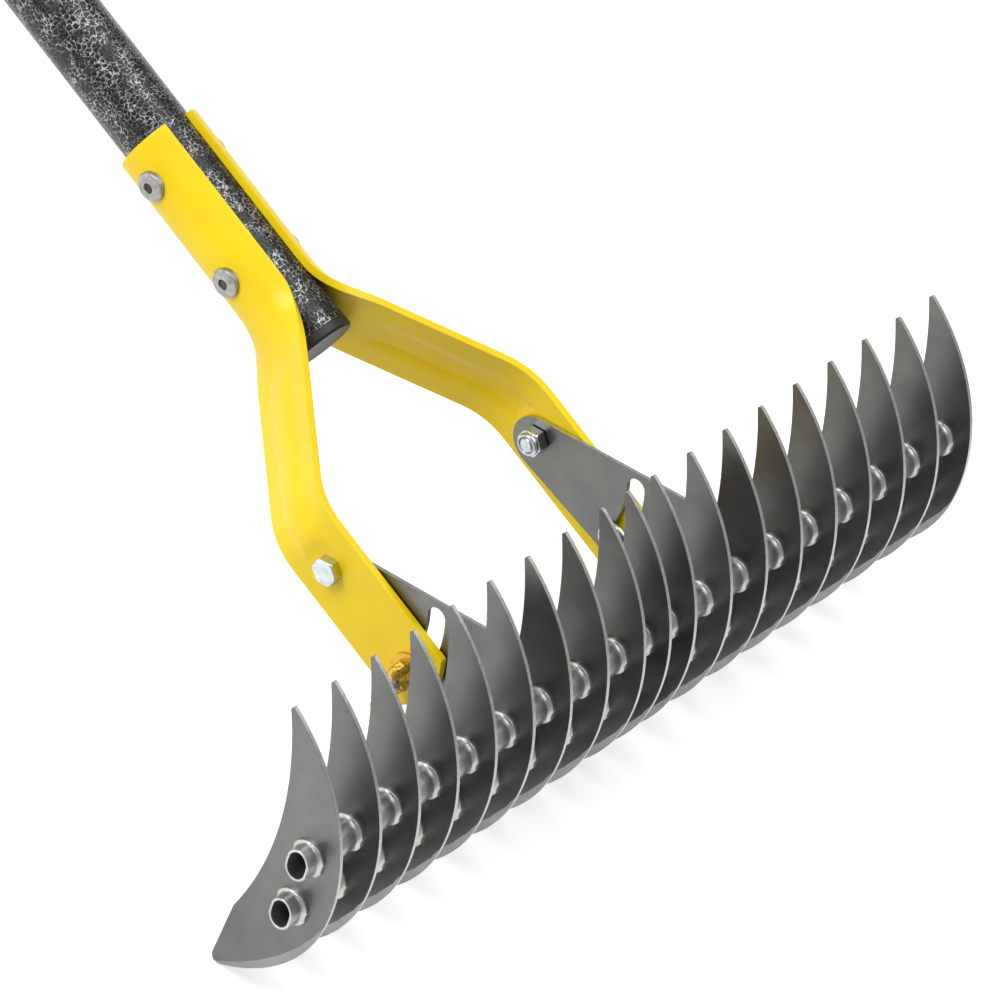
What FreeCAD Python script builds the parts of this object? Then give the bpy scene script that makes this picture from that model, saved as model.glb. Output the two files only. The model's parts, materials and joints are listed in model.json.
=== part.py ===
import FreeCAD, Part
import Sketcher
import math
import os

# A long-handled thatch rake. Nineteen crescent blades sit on two crimped tubes, and two of the blades carry a
# lug. Two bent arms, riveted to the handle, straddle the head and are bolted to the lugs, so the head tilts
# until a wing nut on each side clamps it through a curved slot.
# +X runs along the head, +Y towards the grip and +Z up. The rake lies as it is put down: on the wide ends of
# its blades and on the end of its grip. The origin is under the middle of the whole rake, on the floor.
# All lengths are in millimetres and all angles in degrees.

# Driving sizes

SIZES = {
    # Blade row
    "blade_pitch": 21.0,
    "middle_pitch": 14.8,
    "blade_thickness": 2.0,
    # Crescent outline, seen from the side, with the upper tube's centre at (0, 0) and the tip up
    "tip_across": 0.45,
    "tip_up": 62.2,
    "heel_across": 39.4,
    "heel_up": -31.2,
    "corner_across": 55.5,
    "corner_up": -59.2,
    "belly_across": -0.5,
    "belly_up": -31.3,
    "inner_arc_radius": 142.0,
    "outer_arc_radius": 78.3,
    "belly_arc_radius": 68.5,
    "tip_blunt": 3.2,
    "corner_radius": 3.3,
    # Lug on the sixth and twelfth blades
    "pivot_across": 71.8,
    "pivot_up": 46.5,
    "lug_end_across": 72.6,
    "lug_end_up": 44.1,
    "lug_end_radius": 10.9,
    "lug_root_top_up": 38.9,
    "lug_root_low_up": -11.0,
    "lug_root_fillet": 8.0,
    "slot_radius": 46.6,
    "slot_width": 7.8,
    "slot_angle": 33.5,
    # Head tubes
    "tube_radius": 6.5,
    "tube_hole_gap": 0.3,
    "low_tube_across": 10.5,
    "low_tube_up": -22.5,
    "tube_stub": 7.8,
    "crimp_half_width": 5.2,
    "crimp_half_height": 6.9,
    "crimp_turn": 24.8,
    "tube_bore_half_width": 3.9,
    "tube_bore_half_height": 5.6,
    # Pose of the head on the handle: the handle's rise above the crescent's own level
    "head_tilt": 44.4,
    # Arms
    "arm_thickness": 3.0,
    "arm_width": 34.0,
    "arm_lug_gap": 0.3,
    "arm_end": 56.8,
    "arm_low_bend": 20.7,
    "arm_high_bend": 79.2,
    "arm_low_bend_radius": 12.0,
    "arm_flat_end": 75.5,
    "saddle_start": 95.0,
    "saddle_end": 168.2,
    "saddle_half_angle": 66.0,
    "saddle_gap": 0.05,
    "arm_corner_radius": 8.0,
    "saddle_corner_radius": 5.0,
    "rib_width": 9.0,
    "rib_rise": 1.5,
    "rib_start": 12.0,
    "rib_end": 67.0,
    "rib_run_out": 6.0,
    "rib_root": 1.5,
    # Handle
    "handle_radius": 14.0,
    "handle_wall": 1.5,
    "handle_start": 68.3,
    "handle_end": 1440.0,
    "plug_collar": 6.3,
    "plug_spigot": 20.0,
    "plug_gap": 0.1,
    "grip_length": 250.0,
    "grip_gap": 0.05,
    "grip_radius": 16.5,
    "grip_collar_radius": 17.5,
    "grip_collar_length": 9.0,
    "cap_flange": 4.0,
    "cap_flange_radius": 16.0,
    "cap_spigot": 22.0,
    "tongue_length": 26.0,
    "tongue_half_width": 12.0,
    "tongue_thickness": 8.0,
    "hang_hole_radius": 5.0,
    # Rivets
    "rivet_low": 109.0,
    "rivet_high": 153.7,
    "rivet_radius": 2.4,
    "rivet_hole_gap": 0.05,
    "rivet_head_radius": 4.75,
    "rivet_dome": 1.8,
    "rivet_dome_radius": 3.2,
    # Pivot and clamp hardware
    "bolt_radius": 3.0,
    "bolt_hole_gap": 0.05,
    "hex_across_flats": 10.0,
    "hex_head": 4.0,
    "pivot_nut": 6.0,
    "nut_gap": 0.3,
    "bolt_proud": 1.2,
    "clamp_reach": 46.7,
    "clamp_head_radius": 7.0,
    "clamp_head": 3.2,
    "clamp_head_gap": 0.3,
    "clamp_rise": 11.5,
    "washer_radius": 9.0,
    "washer_thickness": 1.6,
    "washer_bore_gap": 0.2,
    # Wing nuts
    "wing_nut_gap": 0.3,
    "wing_hub_radius": 5.6,
    "wing_hub_top_radius": 4.6,
    "wing_hub": 8.0,
    "wing_span": 13.4,
    "wing_rise": 14.0,
    "wing_thickness": 2.4,
    "wing_foot": 2.0,
    "wing_corner": 3.0,
    "wing_turn": 10.0,
}

# Counts: how many blades there are, how many of the gaps between them are narrow, which two blades carry the
# lugs, and how many flats a head tube has all round. A tube and its holes repeat so often that they are drawn
# with flats.

BLADE_COUNT = 19
NARROW_COUNT = 2
LEFT_LUG = 6
RIGHT_LUG = 12
TUBE_SIDES = 12
HEX_SIDES = 6

doc = FreeCAD.newDocument("thatch_rake")
sheet = doc.addObject("Spreadsheet::Sheet", "Sizes")
for row, (alias, value) in enumerate(SIZES.items(), start=1):
    sheet.set("A%d" % row, alias)
    sheet.set("B%d" % row, str(value))
    sheet.setAlias("B%d" % row, alias)
doc.recompute()


def size(alias):
    """Reads one driving size back from the sheet."""
    return float(sheet.get(alias))


def cell(alias):
    """Names a size for use in an expression."""
    return "Sizes." + alias


# Places that several pieces share

RIGHT_ANGLE = 90.0
HALF_TURN = 180.0
FULL_TURN = 360.0

# An edge counts as the one at a place if its middle lies this near
EDGE_REACH = 0.6


def blade_places():
    """Gives every blade's middle plane along the head. The middle blade stands at 0, and the gaps on
    each side of it are narrower than the others."""
    gaps = BLADE_COUNT - 1
    first_narrow = (gaps - NARROW_COUNT) // 2
    pitches = [size("blade_pitch")] * gaps
    for narrow in range(first_narrow, first_narrow + NARROW_COUNT):
        pitches[narrow] = size("middle_pitch")
    places = [-sum(pitches) / 2]
    for pitch in pitches:
        places.append(places[-1] + pitch)
    return places


BLADES = blade_places()
LEFT_LUG_PLACE = BLADES[LEFT_LUG - 1]
RIGHT_LUG_PLACE = BLADES[RIGHT_LUG - 1]
HANDLE_PLACE = (LEFT_LUG_PLACE + RIGHT_LUG_PLACE) / 2
LUG_REACH = (RIGHT_LUG_PLACE - LEFT_LUG_PLACE) / 2

# Distances from the handle's middle plane outwards, through lug, arm, washer and wing nut
lug_inner = LUG_REACH - size("blade_thickness") / 2
lug_outer = LUG_REACH + size("blade_thickness") / 2
arm_inner = lug_outer + size("arm_lug_gap")
arm_outer = arm_inner + size("arm_thickness")
saddle_inner = size("handle_radius") + size("saddle_gap")
saddle_outer = saddle_inner + size("arm_thickness")
wing_base = arm_outer + size("washer_thickness") + size("wing_nut_gap")
slope = math.atan2(arm_outer - saddle_outer, size("arm_high_bend") - size("arm_low_bend"))


def rotated(point, degrees):
    """Turns a flat point about (0, 0)."""
    turn = math.radians(degrees)
    across = point[0] * math.cos(turn) - point[1] * math.sin(turn)
    up = point[0] * math.sin(turn) + point[1] * math.cos(turn)
    return (across, up)


def corner_centre():
    """Finds the centre of the round at the blade's wide end, from the heel line and the belly arc."""
    heel = (size("heel_across"), size("heel_up"))
    corner = (size("corner_across"), size("corner_up"))
    belly = (size("belly_across"), size("belly_up"))
    centre = arc_centre(belly, corner, size("belly_arc_radius"), 1)
    along = (corner[0] - heel[0], corner[1] - heel[1])
    length = math.hypot(along[0], along[1])
    along = (along[0] / length, along[1] / length)
    inward = (along[1], -along[0])
    start = (heel[0] + inward[0] * size("corner_radius"), heel[1] + inward[1] * size("corner_radius"))
    reach = size("belly_arc_radius") - size("corner_radius")
    offset = (start[0] - centre[0], start[1] - centre[1])
    half = offset[0] * along[0] + offset[1] * along[1]
    rest = offset[0] ** 2 + offset[1] ** 2 - reach ** 2
    travel = -half + math.sqrt(half ** 2 - rest)
    return (start[0] + along[0] * travel, start[1] + along[1] * travel)


def arc_centre(start, end, radius, side):
    """Finds the centre of an arc through two points. Side 1 puts it on the left of the way from start to
    end, and side -1 on the right."""
    middle = ((start[0] + end[0]) / 2, (start[1] + end[1]) / 2)
    chord = (end[0] - start[0], end[1] - start[1])
    length = math.hypot(chord[0], chord[1])
    rise = math.sqrt(radius ** 2 - (length / 2) ** 2)
    left = (-chord[1] / length, chord[0] / length)
    return (middle[0] + side * rise * left[0], middle[1] + side * rise * left[1])


# The rake's lie on the floor: the blades' rounded corners and the grip's far end touch it
PIVOT = (size("pivot_across"), size("pivot_up"))
corner_middle = corner_centre()
corner_offset = (corner_middle[0] - PIVOT[0], corner_middle[1] - PIVOT[1])
corner_by_handle = rotated(corner_offset, -size("head_tilt"))
lie_run = size("handle_end") - corner_by_handle[0]
lie_rise = size("grip_collar_radius") + corner_by_handle[1]
lie_reach = math.hypot(lie_run, lie_rise)
handle_drop = math.degrees(math.asin(size("corner_radius") / lie_reach) - math.atan2(lie_rise, lie_run))
pivot_height = (size("handle_end") * math.sin(math.radians(handle_drop))
                + size("grip_collar_radius") * math.cos(math.radians(handle_drop)))


def side_frame(degrees, along_head, start):
    """Stands a piece drawn from the side: its x and y turned by the angle, its z along the head."""
    first = rotated((1.0, 0.0), degrees)
    second = rotated((0.0, 1.0), degrees)
    x_axis = FreeCAD.Vector(0, first[0], first[1])
    y_axis = FreeCAD.Vector(0, second[0], second[1])
    z_axis = FreeCAD.Vector(1, 0, 0)
    turn = FreeCAD.Rotation(x_axis, y_axis, z_axis, "XYZ")
    return FreeCAD.Placement(FreeCAD.Vector(along_head, start[0], start[1]), turn)


def head_frame(along_head):
    """Places a piece drawn in the crescent's own frame, at one place along the head."""
    tilt = -(size("head_tilt") + handle_drop)
    to_pivot = rotated(PIVOT, tilt)
    return side_frame(tilt, along_head, (-to_pivot[0], pivot_height - to_pivot[1]))


def handle_frame():
    """Places a piece drawn from the pivot: x along the handle, y up, z along the head."""
    return side_frame(-handle_drop, HANDLE_PLACE, (0.0, pivot_height))


OTHER_SIDE = FreeCAD.Placement(FreeCAD.Vector(0, 0, 0), FreeCAD.Rotation(FreeCAD.Vector(1, 0, 0), HALF_TURN))

subparts = []


def keep(piece, label, placement):
    """Names a finished sub-part, places it and puts it on the list to write."""
    piece.Label = label
    piece.Placement = placement
    subparts.append(piece)
    return piece


# Sketch helpers

def plane_of(body, role):
    """Finds one of a body's own origin planes."""
    for feature in body.Origin.OriginFeatures:
        if feature.Role == role:
            return feature
    raise ValueError("no plane " + role)


def new_sketch(body, name, role, lift=None):
    """Adds a sketch on an origin plane, lifted off it by an expression if one is given."""
    sketch = body.newObject("Sketcher::SketchObject", name)
    sketch.AttachmentSupport = [(plane_of(body, role), "")]
    sketch.MapMode = "FlatFace"
    if lift:
        sketch.setExpression("AttachmentOffset.Base.z", lift)
    return sketch


def flat(point):
    """Turns a flat point into a vector."""
    return FreeCAD.Vector(point[0], point[1], 0)


def bind(sketch, constraint, expression):
    """Adds a constraint whose value follows the sheet."""
    index = sketch.addConstraint(constraint)
    sketch.setExpression("Constraints[%d]" % index, expression)


def draw_line(sketch, start, end):
    """Draws a line and tells which of its ends are its start and end."""
    index = sketch.addGeometry(Part.LineSegment(flat(start), flat(end)), False)
    return (index, 1, 2)


def draw_arc(sketch, start, end, centre, side, radius_expression=None):
    """Draws an arc from start to end, leftwards for side 1 and rightwards for side -1."""
    radius = math.hypot(start[0] - centre[0], start[1] - centre[1])
    first = math.atan2(start[1] - centre[1], start[0] - centre[0])
    last = math.atan2(end[1] - centre[1], end[0] - centre[0])
    circle = Part.Circle(flat(centre), FreeCAD.Vector(0, 0, 1), radius)
    if side > 0:
        index = sketch.addGeometry(Part.ArcOfCircle(circle, first, last), False)
        ends = (index, 1, 2)
    else:
        index = sketch.addGeometry(Part.ArcOfCircle(circle, last, first), False)
        ends = (index, 2, 1)
    if radius_expression:
        bind(sketch, Sketcher.Constraint("Radius", index, radius), radius_expression)
    return ends


def join(sketch, ends):
    """Joins edges drawn one after another into a closed outline."""
    for (one, _, one_end), (two, two_start, _) in zip(ends, ends[1:] + ends[:1]):
        sketch.addConstraint(Sketcher.Constraint("Coincident", one, one_end, two, two_start))


def draw_polygon(sketch, points):
    """Draws a closed outline of straight lines."""
    ends = [draw_line(sketch, start, end) for start, end in zip(points, points[1:] + points[:1])]
    join(sketch, ends)
    return ends


def pin(sketch, end, point, across, up):
    """Ties a drawn point to two sizes."""
    index, position = end
    bind(sketch, Sketcher.Constraint("DistanceX", -1, 1, index, position, point[0]), across)
    bind(sketch, Sketcher.Constraint("DistanceY", -1, 1, index, position, point[1]), up)


def draw_circle(sketch, centre, radius, expression):
    """Draws a circle whose radius follows the sheet."""
    index = sketch.addGeometry(Part.Circle(flat(centre), FreeCAD.Vector(0, 0, 1), radius), False)
    bind(sketch, Sketcher.Constraint("Radius", index, radius), expression)
    return index


def pad(body, sketch, name, length, symmetric=False, reverse=False):
    """Raises a sketch by an expression."""
    feature = body.newObject("PartDesign::Pad", name)
    feature.Profile = sketch
    feature.setExpression("Length", length)
    feature.SideType = "Symmetric" if symmetric else "One side"
    feature.Reversed = reverse
    return feature


def pocket_through(body, sketch, name):
    """Cuts a sketch right through, both ways."""
    feature = body.newObject("PartDesign::Pocket", name)
    feature.Profile = sketch
    feature.Type = "ThroughAll"
    feature.SideType = "Symmetric"
    return feature


def revolve(body, sketch, name, axis="H_Axis"):
    """Turns a sketch a full turn about one of its own axes."""
    feature = body.newObject("PartDesign::Revolution", name)
    feature.Profile = sketch
    feature.ReferenceAxis = (sketch, [axis])
    feature.Angle = FULL_TURN
    return feature


def edges_near(shape, places, reach):
    """Names the edges that pass within reach of any of the places."""
    names = []
    for number, edge in enumerate(shape.Edges, start=1):
        middle = edge.valueAt((edge.FirstParameter + edge.LastParameter) / 2)
        for place in places:
            if middle.distanceToPoint(place) < reach:
                names.append("Edge%d" % number)
                break
    return names


def fillet(body, base, name, places, radius):
    """Rounds the edges at the given places."""
    doc.recompute()
    feature = body.newObject("PartDesign::Fillet", name)
    feature.Base = (base, edges_near(base.Shape, places, EDGE_REACH))
    feature.setExpression("Radius", radius)
    return feature


def blunt(body, base, name, places, length):
    """Cuts a small flat on the edges at the given places."""
    doc.recompute()
    feature = body.newObject("PartDesign::Chamfer", name)
    feature.Base = (base, edges_near(base.Shape, places, EDGE_REACH))
    feature.setExpression("Size", length)
    return feature


# Blades

TIP = (size("tip_across"), size("tip_up"))
HEEL = (size("heel_across"), size("heel_up"))
CORNER = (size("corner_across"), size("corner_up"))
BELLY = (size("belly_across"), size("belly_up"))
INNER_CENTRE = arc_centre(TIP, HEEL, size("inner_arc_radius"), 1)
OUTER_CENTRE = arc_centre(BELLY, TIP, size("outer_arc_radius"), -1)
BELLY_CENTRE = arc_centre(CORNER, BELLY, size("belly_arc_radius"), -1)


def on_inner_arc(up):
    """Finds the place at one height on the blade's hollow edge."""
    rise = up - INNER_CENTRE[1]
    return (INNER_CENTRE[0] - math.sqrt(size("inner_arc_radius") ** 2 - rise ** 2), up)


def tangent_from(point, centre, radius, side):
    """Finds where a line from a point touches a circle, on the left of the line for side 1."""
    reach = (centre[0] - point[0], centre[1] - point[1])
    distance = math.hypot(reach[0], reach[1])
    heading = math.atan2(reach[1], reach[0]) + side * math.asin(radius / distance)
    run = math.sqrt(distance ** 2 - radius ** 2)
    return (point[0] + run * math.cos(heading), point[1] + run * math.sin(heading))


def close_crescent(sketch, ends):
    """Draws the heel, belly and outer edges, joins the outline and ties its corners to the sheet."""
    heel_line = draw_line(sketch, HEEL, CORNER)
    belly_arc = draw_arc(sketch, CORNER, BELLY, BELLY_CENTRE, -1, cell("belly_arc_radius"))
    outer_arc = draw_arc(sketch, BELLY, TIP, OUTER_CENTRE, -1, cell("outer_arc_radius"))
    join(sketch, ends + [heel_line, belly_arc, outer_arc])
    pin(sketch, heel_line[:2], HEEL, cell("heel_across"), cell("heel_up"))
    pin(sketch, belly_arc[:2], CORNER, cell("corner_across"), cell("corner_up"))
    pin(sketch, outer_arc[:2], BELLY, cell("belly_across"), cell("belly_up"))
    pin(sketch, (outer_arc[0], outer_arc[2]), TIP, cell("tip_across"), cell("tip_up"))


def tube_outline(half_width, half_height):
    """Lists the corners of a tube's section, with its pinch turned as the press turns it."""
    corners = []
    for number in range(TUBE_SIDES):
        turn = math.radians(FULL_TURN * number / TUBE_SIDES)
        corner = (half_width * math.cos(turn), half_height * math.sin(turn))
        corners.append(rotated(corner, size("crimp_turn")))
    return corners


def tube_holes(sketch):
    """Draws the two holes for the head tubes, flat for flat with the tubes."""
    radius = size("tube_radius") + size("tube_hole_gap")
    corners = tube_outline(radius, radius)
    draw_polygon(sketch, corners)
    draw_polygon(sketch, [(across + size("low_tube_across"), up + size("low_tube_up")) for across, up in corners])


def plain_blade(number):
    """One crescent with its two tube holes, its blunt tip and its rounded corner."""
    body = doc.addObject("PartDesign::Body", "Blade%02d" % number)
    sketch = new_sketch(body, "BladeOutline", "XY_Plane")
    inner_arc = draw_arc(sketch, TIP, HEEL, INNER_CENTRE, 1, cell("inner_arc_radius"))
    close_crescent(sketch, [inner_arc])
    tube_holes(sketch)
    plate = pad(body, sketch, "BladePlate", cell("blade_thickness"), symmetric=True)
    tip = blunt(body, plate, "BladeTip", [flat(TIP)], cell("tip_blunt"))
    fillet(body, tip, "BladeCorner", [flat(CORNER)], cell("corner_radius"))
    return body


def slot_outline(sketch):
    """Draws the curved slot about the pivot, from the clamp's place at rest to the end of its travel."""
    half = size("slot_width") / 2
    rest_heading = size("head_tilt") + HALF_TURN
    far_heading = rest_heading - size("slot_angle")

    def place(radius, heading):
        across, up = rotated((radius, 0.0), heading)
        return (PIVOT[0] + across, PIVOT[1] + up)

    wide = size("slot_radius") + half
    narrow = size("slot_radius") - half
    half_width = cell("slot_width") + " / 2"
    outer = draw_arc(sketch, place(wide, far_heading), place(wide, rest_heading), PIVOT, 1,
                     cell("slot_radius") + " + " + half_width)
    rest_end = draw_arc(sketch, place(wide, rest_heading), place(narrow, rest_heading),
                        place(size("slot_radius"), rest_heading), 1)
    inner = draw_arc(sketch, place(narrow, rest_heading), place(narrow, far_heading), PIVOT, -1,
                     cell("slot_radius") + " - " + half_width)
    far_end = draw_arc(sketch, place(narrow, far_heading), place(wide, far_heading),
                       place(size("slot_radius"), far_heading), 1)
    join(sketch, [outer, rest_end, inner, far_end])


def lug_blade(number):
    """A crescent made in one with its lug, which has the pivot hole and the clamp's slot."""
    body = doc.addObject("PartDesign::Body", "Blade%02d" % number)
    root_top = on_inner_arc(size("lug_root_top_up"))
    root_low = on_inner_arc(size("lug_root_low_up"))
    lug_centre = (size("lug_end_across"), size("lug_end_up"))
    touch_top = tangent_from(root_top, lug_centre, size("lug_end_radius"), 1)
    touch_low = tangent_from(root_low, lug_centre, size("lug_end_radius"), -1)
    sketch = new_sketch(body, "LugBladeOutline", "XY_Plane")
    tip_arc = draw_arc(sketch, TIP, root_top, INNER_CENTRE, 1, cell("inner_arc_radius"))
    top_line = draw_line(sketch, root_top, touch_top)
    lug_end = draw_arc(sketch, touch_top, touch_low, lug_centre, -1, cell("lug_end_radius"))
    low_line = draw_line(sketch, touch_low, root_low)
    heel_arc = draw_arc(sketch, root_low, HEEL, INNER_CENTRE, 1, cell("inner_arc_radius"))
    close_crescent(sketch, [tip_arc, top_line, lug_end, low_line, heel_arc])
    pin(sketch, (lug_end[0], 3), lug_centre, cell("lug_end_across"), cell("lug_end_up"))
    tube_holes(sketch)
    pivot_radius = size("bolt_radius") + size("bolt_hole_gap")
    pivot = draw_circle(sketch, PIVOT, pivot_radius, cell("bolt_radius") + " + " + cell("bolt_hole_gap"))
    pin(sketch, (pivot, 3), PIVOT, cell("pivot_across"), cell("pivot_up"))
    slot_outline(sketch)
    plate = pad(body, sketch, "LugBladePlate", cell("blade_thickness"), symmetric=True)
    root = fillet(body, plate, "LugRoot", [flat(root_low)], cell("lug_root_fillet"))
    tip = blunt(body, root, "LugBladeTip", [flat(TIP)], cell("tip_blunt"))
    fillet(body, tip, "LugBladeCorner", [flat(CORNER)], cell("corner_radius"))
    return body


def blade_row():
    """All the blades, numbered along the head."""
    for number, place in enumerate(BLADES, start=1):
        if number in (LEFT_LUG, RIGHT_LUG):
            blade = lug_blade(number)
            label = "lug_blade_%02d" % number
        else:
            blade = plain_blade(number)
            label = "blade_%02d" % number
        keep(blade, label, head_frame(place))


# Head tubes

def crimp_rings():
    """Lists the tube's rings as places along the head and whether the tube is crimped there. It stays
    round in each blade's hole, and is pinched in each gap and in the stub at each end."""
    end = BLADES[-1] + size("tube_stub")
    rings = [(-end, True)]
    for place, following in zip(BLADES, BLADES[1:] + [end]):
        rings.append((place, False))
        if following != end:
            rings.append(((place + following) / 2, True))
    rings.append((end, True))
    return rings


def tube_section(name, centre, along_head, half_width, half_height):
    """Draws a tube's section on a sketch of its own, at one place along the head."""
    sketch = doc.addObject("Sketcher::SketchObject", name)
    sketch.Placement = FreeCAD.Placement(FreeCAD.Vector(centre[0], centre[1], along_head), FreeCAD.Rotation())
    draw_polygon(sketch, tube_outline(half_width, half_height))
    return sketch


def head_tube(name, label, centre):
    """A round tube, pinched beside every blade so that none can slide, and open at both ends."""
    sections = []
    for number, (place, crimped) in enumerate(crimp_rings(), start=1):
        ring = "%sRing%02d" % (name, number)
        if crimped:
            section = tube_section(ring, centre, place, size("crimp_half_width"), size("crimp_half_height"))
        else:
            section = tube_section(ring, centre, place, size("tube_radius"), size("tube_radius"))
        sections.append(section)
    skin = doc.addObject("Part::Loft", name + "Skin")
    skin.Sections = sections
    skin.Solid = True
    skin.Ruled = True
    end = BLADES[-1] + size("tube_stub")
    bore = doc.addObject("Part::Extrusion", name + "Bore")
    bore.Base = tube_section(name + "Mouth", centre, -end, size("tube_bore_half_width"),
                             size("tube_bore_half_height"))
    bore.DirMode = "Custom"
    bore.Dir = FreeCAD.Vector(0, 0, 1)
    bore.LengthFwd = 2 * end
    bore.Solid = True
    tube = doc.addObject("Part::Cut", name)
    tube.Base = skin
    tube.Tool = bore
    keep(tube, label, head_frame(0.0))


# Arms

def arm_profile():
    """Lists the strip's side profile as outer and inner corner points, from its low end to where the
    slope meets the twist into the saddle."""
    lean = math.tan(slope)
    bend_shift = size("arm_thickness") * math.tan(slope / 2)
    low_end = -size("arm_end")
    top = size("arm_flat_end")
    top_outer = saddle_outer + (size("arm_high_bend") - top) * lean
    top_inner = top_outer - size("arm_thickness") / math.cos(slope)
    outer_bend = (size("arm_low_bend"), arm_outer)
    inner_bend = (size("arm_low_bend") - bend_shift, arm_inner)
    return (low_end, arm_outer), outer_bend, (top, top_outer), (top, top_inner), inner_bend, (low_end, arm_inner)


def bend_arc(before, bend, after, radius):
    """Finds where a round of one radius leaves the two lines that meet at a bend, and its centre."""
    first = (before[0] - bend[0], before[1] - bend[1])
    second = (after[0] - bend[0], after[1] - bend[1])
    first_length = math.hypot(first[0], first[1])
    second_length = math.hypot(second[0], second[1])
    first = (first[0] / first_length, first[1] / first_length)
    second = (second[0] / second_length, second[1] / second_length)
    half = math.acos(first[0] * second[0] + first[1] * second[1]) / 2
    run = radius / math.tan(half)
    middle = (first[0] + second[0], first[1] + second[1])
    middle_length = math.hypot(middle[0], middle[1])
    reach = radius / math.sin(half) / middle_length
    start = (bend[0] + first[0] * run, bend[1] + first[1] * run)
    end = (bend[0] + second[0] * run, bend[1] + second[1] * run)
    return start, end, (bend[0] + middle[0] * reach, bend[1] + middle[1] * reach)


def arm_strip(body):
    """The flat foot beside the lug and the slope up to the saddle, bent from one strip."""
    foot_outer, outer_bend, top_outer, top_inner, inner_bend, foot_inner = arm_profile()
    outer_radius = size("arm_low_bend_radius")
    inner_radius = outer_radius - size("arm_thickness")
    out_start, out_end, out_centre = bend_arc(foot_outer, outer_bend, top_outer, outer_radius)
    in_start, in_end, in_centre = bend_arc(top_inner, inner_bend, foot_inner, inner_radius)
    sketch = new_sketch(body, "ArmProfile", "XZ_Plane")
    ends = [
        draw_line(sketch, foot_outer, out_start),
        draw_arc(sketch, out_start, out_end, out_centre, -1, cell("arm_low_bend_radius")),
        draw_line(sketch, out_end, top_outer),
        draw_line(sketch, top_outer, top_inner),
        draw_line(sketch, top_inner, in_start),
        draw_arc(sketch, in_start, in_end, in_centre, 1,
                 cell("arm_low_bend_radius") + " - " + cell("arm_thickness")),
        draw_line(sketch, in_end, foot_inner),
        draw_line(sketch, foot_inner, foot_outer),
    ]
    join(sketch, ends)
    return pad(body, sketch, "ArmStrip", cell("arm_width"), symmetric=True)


def saddle_section(sketch):
    """Draws the part of a ring that hugs the handle."""
    half = size("saddle_half_angle")
    low_outer = rotated((0.0, saddle_outer), half)
    high_outer = rotated((0.0, saddle_outer), -half)
    low_inner = rotated((0.0, saddle_inner), half)
    high_inner = rotated((0.0, saddle_inner), -half)
    centre = (0.0, 0.0)
    inner_radius = cell("handle_radius") + " + " + cell("saddle_gap")
    ends = [
        draw_arc(sketch, low_outer, high_outer, centre, -1, inner_radius + " + " + cell("arm_thickness")),
        draw_line(sketch, high_outer, high_inner),
        draw_arc(sketch, high_inner, low_inner, centre, 1, inner_radius),
        draw_line(sketch, low_inner, low_outer),
    ]
    join(sketch, ends)


def arm_twist(body):
    """The stretch where the flat strip curls into the saddle."""
    top_outer, top_inner = arm_profile()[2:4]
    half_width = size("arm_width") / 2
    flat_end = new_sketch(body, "TwistStart", "YZ_Plane", cell("arm_flat_end"))
    draw_polygon(flat_end, [(-half_width, top_outer[1]), (half_width, top_outer[1]),
                            (half_width, top_inner[1]), (-half_width, top_inner[1])])
    round_end = new_sketch(body, "TwistEnd", "YZ_Plane", cell("saddle_start"))
    saddle_section(round_end)
    twist = body.newObject("PartDesign::AdditiveLoft", "ArmTwist")
    twist.Profile = flat_end
    twist.Sections = [round_end]
    twist.Ruled = True
    return twist


def arm_saddle(body):
    """The curved saddle, with its two far corners rounded."""
    sketch = new_sketch(body, "SaddleSection", "YZ_Plane", cell("saddle_start"))
    saddle_section(sketch)
    saddle = pad(body, sketch, "ArmSaddle", cell("saddle_end") + " - " + cell("saddle_start"))
    middle = (saddle_inner + saddle_outer) / 2
    places = []
    for turn in (size("saddle_half_angle"), -size("saddle_half_angle")):
        across, up = rotated((0.0, middle), turn)
        places.append(FreeCAD.Vector(size("saddle_end"), across, up))
    return fillet(body, saddle, "SaddleCorners", places, cell("saddle_corner_radius"))


def rib_path():
    """Lists the rib's side profile: it stands off the strip's face, follows it over the bend and runs out
    into it at both ends."""
    outer_bend = arm_profile()[1]
    lean = math.tan(slope)
    rise = size("rib_rise")
    start = size("rib_start")
    end = size("rib_end")
    run_out = size("rib_run_out")
    top = end - run_out
    top_face = outer_bend[1] - (top - outer_bend[0]) * lean
    end_face = outer_bend[1] - (end - outer_bend[0]) * lean
    bend = outer_bend[0] + rise * math.tan(slope / 2)
    return [(start, arm_outer), (start + run_out, arm_outer + rise), (bend, arm_outer + rise),
            (top, top_face + rise / math.cos(slope)), (end, end_face)]


def arm_rib(body):
    """The long rib that stiffens the slope. It stands on the strip's outer face and turns over the bend."""
    outer = rib_path()
    root = size("rib_root")
    raised = outer + [(outer[-1][0], outer[-1][1] - root), (size("arm_low_bend"), arm_outer - root),
                      (outer[0][0], arm_outer - root)]
    sketch = new_sketch(body, "RibProfile", "XZ_Plane")
    draw_polygon(sketch, raised)
    return pad(body, sketch, "ArmRib", cell("rib_width"), symmetric=True)


def arm_holes(body):
    """The holes for the pivot bolt, the clamp bolt and the two rivets."""
    sketch = new_sketch(body, "ArmHoles", "XY_Plane", cell("arm_thickness"))
    bolt_radius = size("bolt_radius") + size("bolt_hole_gap")
    bolt_hole = cell("bolt_radius") + " + " + cell("bolt_hole_gap")
    draw_circle(sketch, (0.0, 0.0), bolt_radius, bolt_hole)
    draw_circle(sketch, (-size("clamp_reach"), 0.0), bolt_radius, bolt_hole)
    rivet_radius = size("rivet_radius") + size("rivet_hole_gap")
    rivet_hole = cell("rivet_radius") + " + " + cell("rivet_hole_gap")
    for place in (size("rivet_low"), size("rivet_high")):
        draw_circle(sketch, (place, 0.0), rivet_radius, rivet_hole)
    return pocket_through(body, sketch, "ArmHolePocket")


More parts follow.
